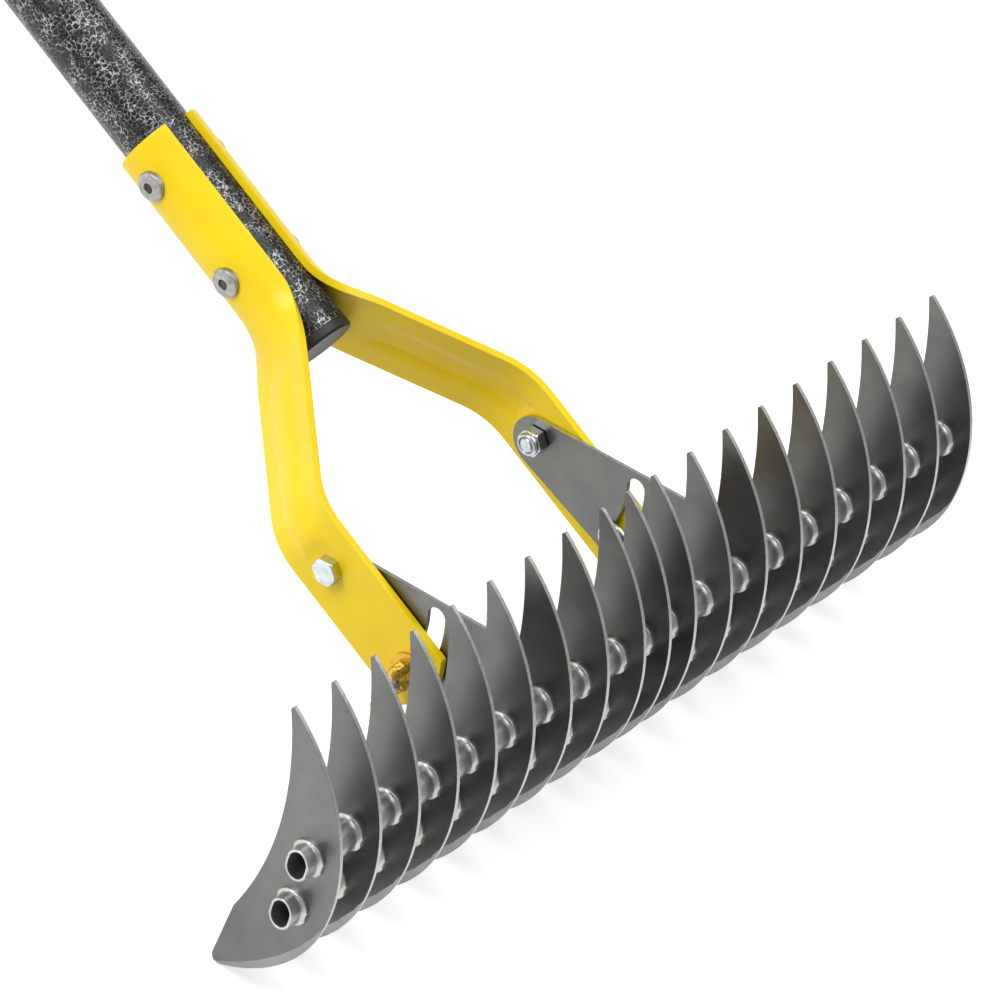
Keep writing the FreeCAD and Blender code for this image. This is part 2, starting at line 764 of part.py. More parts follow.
def arm(name, label, placement):
    """One bent arm, drawn for the right side."""
    body = doc.addObject("PartDesign::Body", name)
    strip = arm_strip(body)
    middle = (arm_inner + arm_outer) / 2
    half_width = size("arm_width") / 2
    places = [FreeCAD.Vector(-size("arm_end"), half_width, middle),
              FreeCAD.Vector(-size("arm_end"), -half_width, middle)]
    fillet(body, strip, "ArmFootCorners", places, cell("arm_corner_radius"))
    arm_rib(body)
    arm_twist(body)
    arm_saddle(body)
    arm_holes(body)
    keep(body, label, placement)


# Handle

def turned_body(name, label, points, ties=()):
    """A piece turned about the handle's axis from a half profile."""
    body = doc.addObject("PartDesign::Body", name)
    sketch = new_sketch(body, name + "Profile", "XY_Plane")
    ends = draw_polygon(sketch, points)
    for number, across, up in ties:
        index, position, _ = ends[number]
        pin(sketch, (index, position), points[number], across, up)
    revolve(body, sketch, name + "Turned")
    keep(body, label, handle_frame())
    return body


def handle_tube():
    """The long steel tube, with the rivet holes at its lower end."""
    start = size("handle_start") + size("plug_collar")
    bore = size("handle_radius") - size("handle_wall")
    points = [(start, bore), (size("handle_end"), bore),
              (size("handle_end"), size("handle_radius")), (start, size("handle_radius"))]
    start_cell = cell("handle_start") + " + " + cell("plug_collar")
    bore_cell = cell("handle_radius") + " - " + cell("handle_wall")
    ties = [(0, start_cell, bore_cell), (2, cell("handle_end"), cell("handle_radius"))]
    body = turned_body("HandleTube", "handle_tube", points, ties)
    sketch = new_sketch(body, "HandleRivetHoles", "XY_Plane")
    rivet_hole = cell("rivet_radius") + " + " + cell("rivet_hole_gap")
    for place in (size("rivet_low"), size("rivet_high")):
        draw_circle(sketch, (place, 0.0), size("rivet_radius") + size("rivet_hole_gap"), rivet_hole)
    pocket_through(body, sketch, "HandleRivetPocket")


def handle_plug():
    """The black plug: a collar as wide as the tube and a spigot inside it."""
    start = size("handle_start")
    collar_end = start + size("plug_collar")
    spigot_radius = size("handle_radius") - size("handle_wall") - size("plug_gap")
    points = [(start, 0.0), (collar_end + size("plug_spigot"), 0.0),
              (collar_end + size("plug_spigot"), spigot_radius), (collar_end, spigot_radius),
              (collar_end, size("handle_radius")), (start, size("handle_radius"))]
    turned_body("HandlePlug", "handle_plug", points)


def handle_grip():
    """The grip sleeve over the handle's last stretch, with a raised collar at its end."""
    start = size("handle_end") - size("grip_length")
    end = size("handle_end")
    bore = size("handle_radius") + size("grip_gap")
    collar = size("grip_collar_length")
    rise = size("grip_collar_radius") - size("grip_radius")
    points = [(start, bore), (end, bore), (end, size("grip_collar_radius")),
              (end - collar, size("grip_collar_radius")), (end - collar - rise, size("grip_radius")),
              (start, size("grip_radius"))]
    turned_body("HandleGrip", "handle_grip", points)


def handle_cap():
    """The end cap: a spigot in the tube, a flange over its end, and a flat tongue with a hang hole."""
    end = size("handle_end")
    flange_end = end + size("cap_flange")
    spigot_radius = size("handle_radius") - size("handle_wall") - size("plug_gap")
    points = [(end - size("cap_spigot"), 0.0), (flange_end, 0.0), (flange_end, size("cap_flange_radius")),
              (end, size("cap_flange_radius")), (end, spigot_radius), (end - size("cap_spigot"), spigot_radius)]
    body = turned_body("HandleCap", "handle_cap", points)
    sketch = new_sketch(body, "TongueOutline", "XY_Plane")
    half_width = size("tongue_half_width")
    round_middle = flange_end + size("tongue_length") - half_width
    root = flange_end - size("cap_flange") / 2
    ends = [
        draw_line(sketch, (root, -half_width), (round_middle, -half_width)),
        draw_arc(sketch, (round_middle, -half_width), (round_middle, half_width), (round_middle, 0.0), 1,
                 cell("tongue_half_width")),
        draw_line(sketch, (round_middle, half_width), (root, half_width)),
        draw_line(sketch, (root, half_width), (root, -half_width)),
    ]
    join(sketch, ends)
    pad(body, sketch, "CapTongue", cell("tongue_thickness"), symmetric=True)
    hole = new_sketch(body, "HangHole", "XY_Plane")
    draw_circle(hole, (round_middle, 0.0), size("hang_hole_radius"), cell("hang_hole_radius"))
    pocket_through(body, hole, "HangHolePocket")


# Fasteners: each is built for the right side, and its twin is the same piece turned over

def cylinder(name, radius, height, place, base):
    """A round piece along the head's direction, at a place beside the pivot and a height off the handle."""
    piece = doc.addObject("Part::Cylinder", name)
    piece.setExpression("Radius", radius)
    piece.setExpression("Height", height)
    piece.Placement = FreeCAD.Placement(FreeCAD.Vector(place, 0, base), FreeCAD.Rotation())
    return piece


def cone(name, low_radius, high_radius, height, place, base):
    """A tapered piece, placed like a cylinder."""
    piece = doc.addObject("Part::Cone", name)
    piece.setExpression("Radius1", low_radius)
    piece.setExpression("Radius2", high_radius)
    piece.setExpression("Height", height)
    piece.Placement = FreeCAD.Placement(FreeCAD.Vector(place, 0, base), FreeCAD.Rotation())
    return piece


def hexagon(name, height, place, base):
    """A hexagon prism, placed like a cylinder."""
    piece = doc.addObject("Part::Prism", name)
    piece.Polygon = HEX_SIDES
    piece.setExpression("Circumradius", cell("hex_across_flats") + " / 2 / cos(30 deg)")
    piece.setExpression("Height", height)
    piece.Placement = FreeCAD.Placement(FreeCAD.Vector(place, 0, base), FreeCAD.Rotation())
    return piece


def fuse(name, pieces):
    """Joins primitives into one piece."""
    piece = doc.addObject("Part::MultiFuse", name)
    piece.Shapes = pieces
    return piece


def cut(name, base, tool):
    """Takes one piece out of another."""
    piece = doc.addObject("Part::Cut", name)
    piece.Base = base
    piece.Tool = tool
    return piece


def turned_over(name, source):
    """The same piece on the other arm: turned half a turn about the handle's axis."""
    twin = doc.addObject("Part::Feature", name)
    doc.recompute()
    shape = source.Shape.copy()
    twin.Shape = shape
    twin.Placement = OTHER_SIDE.multiply(shape.Placement)
    return twin


def both_sides(label, pieces):
    """Puts right-hand pieces and their twins in one node."""
    twins = [turned_over(piece.Name + "Twin", piece) for piece in pieces]
    group = doc.addObject("Part::Compound", label.title().replace("_", ""))
    group.Links = pieces + twins
    keep(group, label, handle_frame())


def rivets():
    """Two blind rivets through each saddle into the tube: a shank and a low domed head."""
    tube_bore = size("handle_radius") - size("handle_wall")
    shank_height = cell("handle_wall") + " + " + cell("saddle_gap") + " + " + cell("arm_thickness")
    pieces = []
    for name, place in (("LowRivet", size("rivet_low")), ("HighRivet", size("rivet_high"))):
        shank = cylinder(name + "Shank", cell("rivet_radius"), shank_height, place, tube_bore)
        head = cone(name + "Head", cell("rivet_head_radius"), cell("rivet_dome_radius"), cell("rivet_dome"),
                    place, saddle_outer)
        pieces.append(fuse(name, [shank, head]))
    both_sides("arm_rivets", pieces)


def pivot_hardware():
    """A hexagon bolt through each arm and lug, and its locking nut inside the lug."""
    nut_top = lug_inner - size("nut_gap")
    bolt_end = nut_top - size("pivot_nut") - size("bolt_proud")
    shank = doc.addObject("Part::Cylinder", "PivotShank")
    shank.setExpression("Radius", cell("bolt_radius"))
    shank.Height = arm_outer - bolt_end
    shank.Placement = FreeCAD.Placement(FreeCAD.Vector(0, 0, bolt_end), FreeCAD.Rotation())
    head = hexagon("PivotHead", cell("hex_head"), 0.0, arm_outer)
    both_sides("pivot_bolts", [fuse("PivotBolt", [shank, head])])
    nut_block = hexagon("PivotNutBlock", cell("pivot_nut"), 0.0, nut_top - size("pivot_nut"))
    nut_bore = cylinder("PivotNutBore", cell("bolt_radius") + " + " + cell("bolt_hole_gap"), cell("pivot_nut"),
                        0.0, nut_top - size("pivot_nut"))
    both_sides("pivot_nuts", [cut("PivotNut", nut_block, nut_bore)])


def clamp_hardware():
    """A round-headed bolt from inside each slot, and a washer on the arm."""
    place = -size("clamp_reach")
    head_top = lug_inner - size("clamp_head_gap")
    head = cylinder("ClampHead", cell("clamp_head_radius"), cell("clamp_head"), place,
                    head_top - size("clamp_head"))
    shank = doc.addObject("Part::Cylinder", "ClampShank")
    shank.setExpression("Radius", cell("bolt_radius"))
    shank.Height = arm_outer + size("washer_thickness") + size("clamp_rise") - head_top
    shank.Placement = FreeCAD.Placement(FreeCAD.Vector(place, 0, head_top), FreeCAD.Rotation())
    both_sides("clamp_bolts", [fuse("ClampBolt", [head, shank])])
    disc = cylinder("WasherDisc", cell("washer_radius"), cell("washer_thickness"), place, arm_outer)
    bore = cylinder("WasherBore", cell("bolt_radius") + " + " + cell("washer_bore_gap"),
                    cell("washer_thickness"), place, arm_outer)
    both_sides("clamp_washers", [cut("Washer", disc, bore)])


# Wing nuts

def wing_nut(name, label, placement):
    """A cast wing nut: a tapered hub with a bore and two upright wings with cut corners."""
    body = doc.addObject("PartDesign::Body", name)
    bore = size("bolt_radius") + size("bolt_hole_gap")
    bore_cell = cell("bolt_radius") + " + " + cell("bolt_hole_gap")
    hub = new_sketch(body, name + "HubProfile", "XZ_Plane")
    points = [(bore, 0.0), (size("wing_hub_radius"), 0.0),
              (size("wing_hub_top_radius"), size("wing_hub")), (bore, size("wing_hub"))]
    ends = draw_polygon(hub, points)
    pin(hub, ends[0][:2], points[0], bore_cell, "0")
    pin(hub, ends[1][:2], points[1], cell("wing_hub_radius"), "0")
    revolve(body, hub, name + "Hub", "V_Axis")
    wings = new_sketch(body, name + "WingOutline", "XZ_Plane")
    span = size("wing_span")
    rise = size("wing_rise")
    foot = size("wing_foot")
    corner = size("wing_corner")
    inner_foot = (bore + size("wing_hub_radius")) / 2
    for side in (1, -1):
        outline = [(inner_foot, foot), (span - corner, foot), (span, rise - corner), (span - corner, rise),
                   (size("wing_hub_top_radius") + corner, rise), (size("wing_hub_top_radius"), rise - corner),
                   (inner_foot, size("wing_hub") - foot)]
        draw_polygon(wings, [(side * across, up) for across, up in outline])
    pad(body, wings, name + "Wings", cell("wing_thickness"), symmetric=True)
    keep(body, label, placement)


def wing_nut_frame():
    """Places a wing nut on the right clamp bolt, with its wings across the arm."""
    spot = FreeCAD.Vector(-size("clamp_reach"), 0, wing_base)
    turn = FreeCAD.Rotation(FreeCAD.Vector(0, 0, 1), RIGHT_ANGLE + size("wing_turn"))
    return FreeCAD.Placement(spot, turn)


# The whole rake

blade_row()
head_tube("UpperTube", "upper_head_tube", (0.0, 0.0))
head_tube("LowerTube", "lower_head_tube", (size("low_tube_across"), size("low_tube_up")))
arm("RightArm", "right_arm", handle_frame())
arm("LeftArm", "left_arm", handle_frame().multiply(OTHER_SIDE))
handle_tube()
handle_plug()
handle_grip()
handle_cap()
rivets()
pivot_hardware()
clamp_hardware()
wing_nut("RightWingNut", "right_wing_nut", handle_frame().multiply(wing_nut_frame()))
wing_nut("LeftWingNut", "left_wing_nut", handle_frame().multiply(OTHER_SIDE).multiply(wing_nut_frame()))
doc.recompute()

# The origin moves under the middle of the whole rake
bounds = FreeCAD.BoundBox()
for piece in subparts:
    bounds.add(piece.Shape.optimalBoundingBox(False, False))
shift = FreeCAD.Vector(0, -bounds.Center.y, 0)
for piece in subparts:
    piece.Placement = FreeCAD.Placement(shift, FreeCAD.Rotation()).multiply(piece.Placement)
doc.recompute()

for item in doc.Objects:
    if "Invalid" in item.State or "Error" in item.State:
        raise RuntimeError("failed: " + item.Name)
for piece in subparts:
    if piece.Shape.isNull() or not piece.Shape.isValid():
        raise RuntimeError("bad shape: " + piece.Label)

os.makedirs("parts", exist_ok=True)
for piece in subparts:
    piece.Shape.exportStep("parts/%s.step" % piece.Label)
print("pieces", len(subparts), "pivot height", round(pivot_height, 3), "drop", round(handle_drop, 3))
print("pivot along", round(shift.y, 3), "handle plane", round(HANDLE_PLACE, 3))
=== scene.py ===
# %% [markdown]
# # A thatch rake
# A thatch rake is a long-handled garden tool. Nineteen flat steel crescents sit side by side on
# two crimped tubes, and two bent yellow arms carry that head on the handle. This lesson dresses a
# model whose solids already have their places: each piece is modelled again with the edges, bends
# and surfaces that light picks out, and it stands where its solid stands.

# %% Load the solids and keep their box
import bpy
import bmesh
import json
import math
from mathutils import Matrix, Vector


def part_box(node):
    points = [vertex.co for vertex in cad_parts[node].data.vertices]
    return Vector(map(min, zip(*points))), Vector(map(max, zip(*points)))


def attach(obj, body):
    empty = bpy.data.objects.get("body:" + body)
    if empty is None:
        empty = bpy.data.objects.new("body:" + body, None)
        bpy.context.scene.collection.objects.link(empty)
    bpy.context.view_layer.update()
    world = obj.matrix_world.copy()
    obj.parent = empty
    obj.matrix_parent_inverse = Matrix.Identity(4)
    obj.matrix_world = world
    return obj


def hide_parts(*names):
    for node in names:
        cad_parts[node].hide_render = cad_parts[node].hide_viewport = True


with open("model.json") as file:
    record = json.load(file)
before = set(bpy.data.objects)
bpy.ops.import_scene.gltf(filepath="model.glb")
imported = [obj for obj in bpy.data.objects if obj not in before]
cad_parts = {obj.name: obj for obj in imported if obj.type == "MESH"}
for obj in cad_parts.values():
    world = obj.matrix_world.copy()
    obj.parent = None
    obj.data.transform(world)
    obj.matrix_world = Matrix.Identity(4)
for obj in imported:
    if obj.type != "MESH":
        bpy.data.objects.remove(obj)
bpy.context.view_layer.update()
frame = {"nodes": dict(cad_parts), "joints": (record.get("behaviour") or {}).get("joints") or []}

# %% [markdown]
# ## Two ways to hold the work
# The head tilts on the handle, so each piece is drawn flat in the frame that suits it, as it would
# lie on a bench, and then stood in its place. The head's frame looks at the crescents from the
# side, and the handle's frame starts at the pivot and runs up the handle. Both come from the
# pivot's place, so nothing is fitted by eye.

# %% Frames for the head and the handle
MM = 0.001
FULL_TURN = 360.0
HALF_TURN = 180.0
QUARTER_TURN = 90.0
HANDLE_DROP = 1.626
HEAD_TILT = 44.4
PIVOT_ACROSS = 71.8
PIVOT_UP = 46.5

pivot = Vector(next(joint["pos_m"] for joint in frame["joints"] if joint["name"] == "head_tilt"))


def side_view(degrees):
    """Stands a piece drawn from the side: its x and y turned by the angle, its z along the head."""
    turn = math.radians(degrees)
    return Matrix(((0, 0, 1, 0),
                   (math.cos(turn), -math.sin(turn), 0, 0),
                   (math.sin(turn), math.cos(turn), 0, 0),
                   (0, 0, 0, 1)))


def head_frame():
    """The crescents' own frame: the upper tube at the origin, the tips up, z along the head from
    its middle."""
    stand = side_view(-(HEAD_TILT + HANDLE_DROP))
    reach = stand @ Vector((PIVOT_ACROSS * MM, PIVOT_UP * MM, 0))
    return Matrix.Translation((0, pivot.y - reach.y, pivot.z - reach.z)) @ stand


HEAD = head_frame()
HANDLE = Matrix.Translation(pivot) @ side_view(-HANDLE_DROP)
OTHER_SIDE = Matrix.Rotation(math.radians(HALF_TURN), 4, "X")
SIDES = (("right", Matrix.Identity(4)), ("left", OTHER_SIDE))
ALONG = Matrix.Rotation(math.radians(QUARTER_TURN), 4, "Y")
print("pivot", [round(c, 4) for c in pivot])

# %% [markdown]
# ## Bench tools
# These short functions do what hands do in the edit mode: start from a primitive, pick faces or
# edges by their place, extrude, turn and scale them. Each starts with nothing selected, because an
# operator acts on all that is selected.

# %% Functions for modelling


def deselect():
    """Leaves nothing selected, so that the next operator touches one piece."""
    if bpy.context.object and bpy.context.object.mode != "OBJECT":
        bpy.ops.object.mode_set(mode="OBJECT")
    bpy.ops.object.select_all(action="DESELECT")


def hold(piece):
    """Selects one piece alone."""
    deselect()
    piece.select_set(True)
    bpy.context.view_layer.objects.active = piece


def take_all():
    """Selects all of the piece in hand."""
    bpy.ops.mesh.select_all(action="SELECT")


def begin(name):
    """Names the primitive just added, puts its place in its mesh and opens it for shaping."""
    piece = bpy.context.object
    piece.name = name
    piece.data.name = name
    bpy.ops.object.transform_apply(location=True, rotation=True, scale=True)
    bpy.ops.object.mode_set(mode="EDIT")
    bpy.ops.mesh.select_mode(type="VERT")
    take_all()
    return piece


def dot(across, up, along=0.0):
    """Adds one vertex to the piece in hand, to draw an outline from."""
    bpy.ops.mesh.select_mode(type="VERT")
    bpy.ops.mesh.primitive_circle_add(vertices=3, radius=MM, location=(across * MM, up * MM, along * MM))
    bpy.ops.mesh.merge(type="CENTER")


def begin_dot(name, across, up, along=0.0):
    """Starts a new piece as one vertex."""
    deselect()
    bpy.ops.mesh.primitive_circle_add(vertices=3, radius=MM, location=(0, 0, 0))
    piece = begin(name)
    bpy.ops.mesh.delete(type="VERT")
    dot(across, up, along)
    return piece


def push(across, up, along=0.0):
    """Extrudes what is selected by a step in millimetres."""
    bpy.ops.mesh.extrude_region_move(TRANSFORM_OT_translate={"value": (across * MM, up * MM, along * MM)})


def sweep(centre, degrees, steps, axis=(0, 0, 1)):
    """Spins what is selected about a centre in millimetres. The spin tool turns clockwise for a positive
    angle, so the angle is turned round here."""
    spot = [value * MM for value in centre]
    bpy.ops.mesh.spin(steps=steps, angle=-math.radians(degrees), center=spot, axis=axis)


def stretch(factors, centre):
    """Scales what is selected about a centre in millimetres."""
    spot = [value * MM for value in centre]
    bpy.ops.transform.resize(value=factors, center_override=spot)


def pick(kind, test):
    """Selects the vertices, edges or faces of the piece in hand that pass a test."""
    bpy.ops.mesh.select_mode(type=kind)
    bpy.ops.mesh.select_all(action="DESELECT")
    mesh = bpy.context.object.data
    shape = bmesh.from_edit_mesh(mesh)
    shape.normal_update()
    items = {"VERT": shape.verts, "EDGE": shape.edges, "FACE": shape.faces}[kind]
    for item in items:
        if test(item):
            item.select_set(True)
    shape.select_flush_mode()
    bmesh.update_edit_mesh(mesh)


def middle(item):
    """The middle of an edge or a face in millimetres."""
    if isinstance(item, bmesh.types.BMFace):
        return item.calc_center_median() / MM
    return (item.verts[0].co + item.verts[1].co) / 2 / MM


def heal(merge=0.01):
    """Joins doubled vertices and turns every face outwards."""
    bpy.ops.mesh.select_mode(type="VERT")
    take_all()
    bpy.ops.mesh.remove_doubles(threshold=merge * MM)
    bpy.ops.mesh.normals_make_consistent(inside=False)


def thicken(thickness):
    """Gives a flat outline its thickness in millimetres, half to each side."""
    push(0, 0, thickness)
    take_all()
    bpy.ops.transform.translate(value=(0, 0, -thickness / 2 * MM))
    heal()


def apply_modifier(piece, name, kind, **settings):
    """Adds a modifier with its settings and applies it."""
    hold(piece)
    modifier = piece.modifiers.new(name, kind)
    for setting, value in settings.items():
        setattr(modifier, setting, value)
    bpy.ops.object.modifier_apply(modifier=modifier.name)


def soften(piece, width, segments=2, limit=30.0, smooth=50.0):
    """Rounds the sharp edges by a width in millimetres and keeps the flat faces flat in the
    light."""
    apply_modifier(piece, "rounded_edges", "BEVEL", width=width * MM, segments=segments,
                   limit_method="ANGLE", angle_limit=math.radians(limit))
    bpy.ops.object.shade_smooth_by_angle(angle=math.radians(smooth))
    apply_modifier(piece, "flat_faces", "WEIGHTED_NORMAL", keep_sharp=True)


def settle(piece, place):
    """Stands a finished piece in its place and leaves its object at the origin."""
    hold(piece)
    piece.matrix_world = place
    bpy.ops.object.transform_apply(location=True, rotation=True, scale=True)


def twin(piece, name):
    """A copy with its own mesh."""
    hold(piece)
    bpy.ops.object.duplicate()
    copy = bpy.context.object
    copy.name = name
    copy.data.name = name
    return copy


def gather(pieces, name):
    """Joins several pieces into one."""
    hold(pieces[0])
    for piece in pieces[1:]:
        piece.select_set(True)
    bpy.ops.object.join()
    whole = bpy.context.object
    whole.name = name
    whole.data.name = name
    return whole


def on_both_sides(pattern, name, place=Matrix.Identity(4)):
    """Copies a pattern to both sides of the handle, joins the copies and clears the pattern
    away."""
    copies = []
    for _, side in SIDES:
        copy = twin(pattern, "copy")
        settle(copy, HANDLE @ side @ place)
        copies.append(copy)
    bpy.data.objects.remove(pattern)
    return gather(copies, name)


def finish_faces(piece, number, test):
    """Gives the faces that pass a test the finish in one of the piece's slots."""
    pick("FACE", test)
    piece.active_material_index = number
    bpy.ops.object.material_slot_assign()


def dress(piece, finish, body, slot, *nodes):
    """Gives a piece its finish and the body it rides on, and hides the solids it stands for. The slot argument
    is not used."""
    if not piece.data.materials:
        piece.data.materials.append(finish)
    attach(piece, body)
    if nodes:
        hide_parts(*nodes)


# %% [markdown]
# ## Finishes
# A finish is a small tree of nodes. It starts from what the surface is and how it was made, and
# each pattern's scale comes from a real size in millimetres. One function turns the written
# colours into the linear values that the shader reads, and one adds a node.

# %% Functions for finishes


def colour(code):
    """Turns an sRGB hex colour into linear values."""
    parts = [int(code[place:place + 2], 16) / 255 for place in (0, 2, 4)]
    linear = [part / 12.92 if part <= 0.04045 else ((part + 0.055) / 1.055) ** 2.4 for part in parts]
    return (*linear, 1.0)


def add(tree, kind, inputs=None, **settings):
    """Adds one node, sets it up and links or fills its inputs."""
    node = tree.nodes.new(kind)
    for setting, value in settings.items():
        setattr(node, setting, value)
    for name, value in (inputs or {}).items():
        if isinstance(value, bpy.types.NodeSocket):
            tree.links.new(value, node.inputs[name])
        else:
            node.inputs[name].default_value = value
    return node


def every(millimetres):
    """The texture scale whose pattern repeats about once in so many millimetres."""
    return 1.0 / (millimetres * MM)


def new_finish(name, **constants):
    """Starts a material with one shader, whose constant values are set on its own sockets."""
    material = bpy.data.materials.new(name)
    material.use_nodes = True
    tree = material.node_tree
    tree.nodes.clear()
    shader = add(tree, "ShaderNodeBsdfPrincipled", constants)
    output = add(tree, "ShaderNodeOutputMaterial", {"Surface": shader.outputs[0]})
    place = add(tree, "ShaderNodeTexCoord").outputs["Object"]
    return material, tree, shader, output, place


def tint(tree, shader, factor, *stops):
    """Colours the surface by a ramp, whose stops are places and written colours."""
    ramp = add(tree, "ShaderNodeValToRGB", {"Fac": factor})
    while len(ramp.color_ramp.elements) < len(stops):
        ramp.color_ramp.elements.new(0.5)
    for element, (spot, code) in zip(ramp.color_ramp.elements, stops):
        element.position = spot
        element.color = colour(code)
    tree.links.new(ramp.outputs["Color"], shader.inputs["Base Color"])


def rough_and_bump(tree, shader, factor, low, high, bump, depth, strength=1.0):
    """Drives roughness between two values, and the bump by a depth in millimetres."""
    roughness = add(tree, "ShaderNodeMapRange", {"Value": factor, "To Min": low, "To Max": high})
    tree.links.new(roughness.outputs["Result"], shader.inputs["Roughness"])
    relief = add(tree, "ShaderNodeBump", {"Height": bump, "Distance": depth * MM, "Strength": strength})
    tree.links.new(relief.outputs["Normal"], shader.inputs["Normal"])


def noise(tree, place, millimetres, detail=3.0, roughness=0.5, **settings):
    """Noise whose largest spots are so many millimetres wide."""
    return add(tree, "ShaderNodeTexNoise", {"Vector": place, "Scale": every(millimetres), "Detail": detail,
                                            "Roughness": roughness}, **settings).outputs["Fac"]


# %% [markdown]
# ### Cold-rolled steel
# The crescents are blanked from cold-rolled sheet and tumbled, then oiled. That leaves an even
# satin grey that mirrors its surroundings softly, with faint cloudy stains. The blanked edge is
# torn bright metal, so it is a finish of its own on the edge faces.

# %% Finishes for the blades


def cold_rolled_steel():
    """Satin sheet: even grey with faint cloudy stains."""
    material, tree, shader, _, place = new_finish("cold_rolled_steel", Metallic=1.0)
    clouds = noise(tree, place, 22.0, 4.0, 0.6)
    grain = noise(tree, place, 0.9, 2.0)
    tint(tree, shader, clouds, (0.3, "6b6c6b"), (0.52, "757675"), (0.75, "7e7f7d"))
    rough_and_bump(tree, shader, clouds, 0.34, 0.42, grain, 0.0015)
    return material


def blanked_edge():
    """Torn bright metal: a light line along every outline."""
    material, tree, shader, _, place = new_finish("blanked_edge", Metallic=1.0)
    tear = noise(tree, place, 1.5, 4.0)
    tint(tree, shader, tear, (0.35, "b9b9b6"), (0.7, "cececa"))
    rough_and_bump(tree, shader, tear, 0.34, 0.46, tear, 0.004)
    return material


BLADE_STEEL = cold_rolled_steel()
BLADE_EDGE = blanked_edge()
print("finishes", BLADE_STEEL.name, BLADE_EDGE.name)

# %% [markdown]
# ### Zinc plate
# The tubes, nuts and bolts are electroplated with zinc: bright, slightly blue, with a soft sheen
# where the plating is thick. The rivets are plain aluminium, greyer and duller. The wing nuts are
# cast and passivated yellow, so they are golden and as rough as the sand mould that they came
# from.

# %% Finishes for tubes and fasteners


def plated(name, dark, light, low, high, spot=3.0, depth=0.015):
    """Plated or plain metal, with cloudy spots of a size in millimetres."""
    material, tree, shader, _, place = new_finish(name, Metallic=1.0)
    clouds = noise(tree, place, spot, 3.0, 0.55)
    tint(tree, shader, clouds, (0.3, dark), (0.7, light))
    rough_and_bump(tree, shader, clouds, low, high, noise(tree, place, spot / 4, 2.0), depth)
    return material


BLADE_GROUND = plated("ground_steel", "868886", "989a97", 0.3, 0.42, 9.0, 0.003)
TUBE_ZINC = plated("zinc_plated_tube", "b3b4b1", "cccdc9", 0.32, 0.44, 5.0, 0.006)
BOLT_ZINC = plated("blue_zinc_plate", "b4bbc1", "d3dadf", 0.2, 0.32, 2.5, 0.006)
RIVET_ALUMINIUM = plated("rivet_aluminium", "8d8d8c", "b2b1ae", 0.34, 0.48, 2.0)
MANDREL_STEEL = plated("mandrel_steel", "3c3a38", "5a5753", 0.4, 0.55, 1.5)
WASHER_ZINC = plated("yellow_zinc_plate", "c29a34", "dcbc55", 0.3, 0.42, 2.5, 0.006)


def yellow_casting():
    """A pitted sand casting in golden yellow zinc."""
    material, tree, shader, _, place = new_finish("yellow_zinc_casting", Metallic=1.0)
    pits = add(tree, "ShaderNodeTexVoronoi", {"Vector": place, "Scale": every(1.3)}).outputs["Distance"]
    sand = noise(tree, place, 0.9, 3.0, 0.6)
    both = add(tree, "ShaderNodeMath", {0: pits, 1: sand}, operation="MULTIPLY").outputs[0]
    tint(tree, shader, both, (0.06, "9a7620"), (0.2, "caa132"), (0.42, "efd360"))
    rough_and_bump(tree, shader, sand, 0.4, 0.62, both, 0.5)
    return material


WING_ZINC = yellow_casting()


def nylon():
    """Milky plastic, for the ring in the nut."""
    material, tree, shader, _, place = new_finish("nylon_insert", IOR=1.53)
    milky = noise(tree, place, 1.2)
    tint(tree, shader, milky, (0.3, "b9bdbd"), (0.7, "d9dcdb"))
    rough_and_bump(tree, shader, milky, 0.35, 0.5, milky, 0.02)
    return material


NYLON = nylon()
print("finishes", len(bpy.data.materials))

# %% [markdown]
# ### Yellow powder coat
# Powder is baked on and flows together, so it covers every edge in one glossy skin with a fine
# orange peel. The colour is a warm yellow, a touch deeper where the coat lies thick.

# %% Finish for the arms


def powder_coat():
    """One glossy yellow skin with a fine orange peel."""
    material, tree, shader, _, place = new_finish("yellow_powder_coat", IOR=1.4)
    cover = noise(tree, place, 30.0, 2.0)
    peel = noise(tree, place, 1.6, 1.0)
    tint(tree, shader, cover, (0.3, "eac802"), (0.7, "f1d203"))
    rough_and_bump(tree, shader, cover, 0.32, 0.4, peel, 0.01)
    return material


YELLOW_COAT = powder_coat()
print("finish", YELLOW_COAT.name)

# %% [markdown]
# ### Crackle coat
# The handle's coating shrinks as it cures and breaks into small black islands, about two
# millimetres wide, with silver showing in the veins between them. Cells with a measured distance
# to their borders give islands and veins, and noise bends and breaks the veins so that they look
# torn and not drawn.

# %% Finish for the handle tube


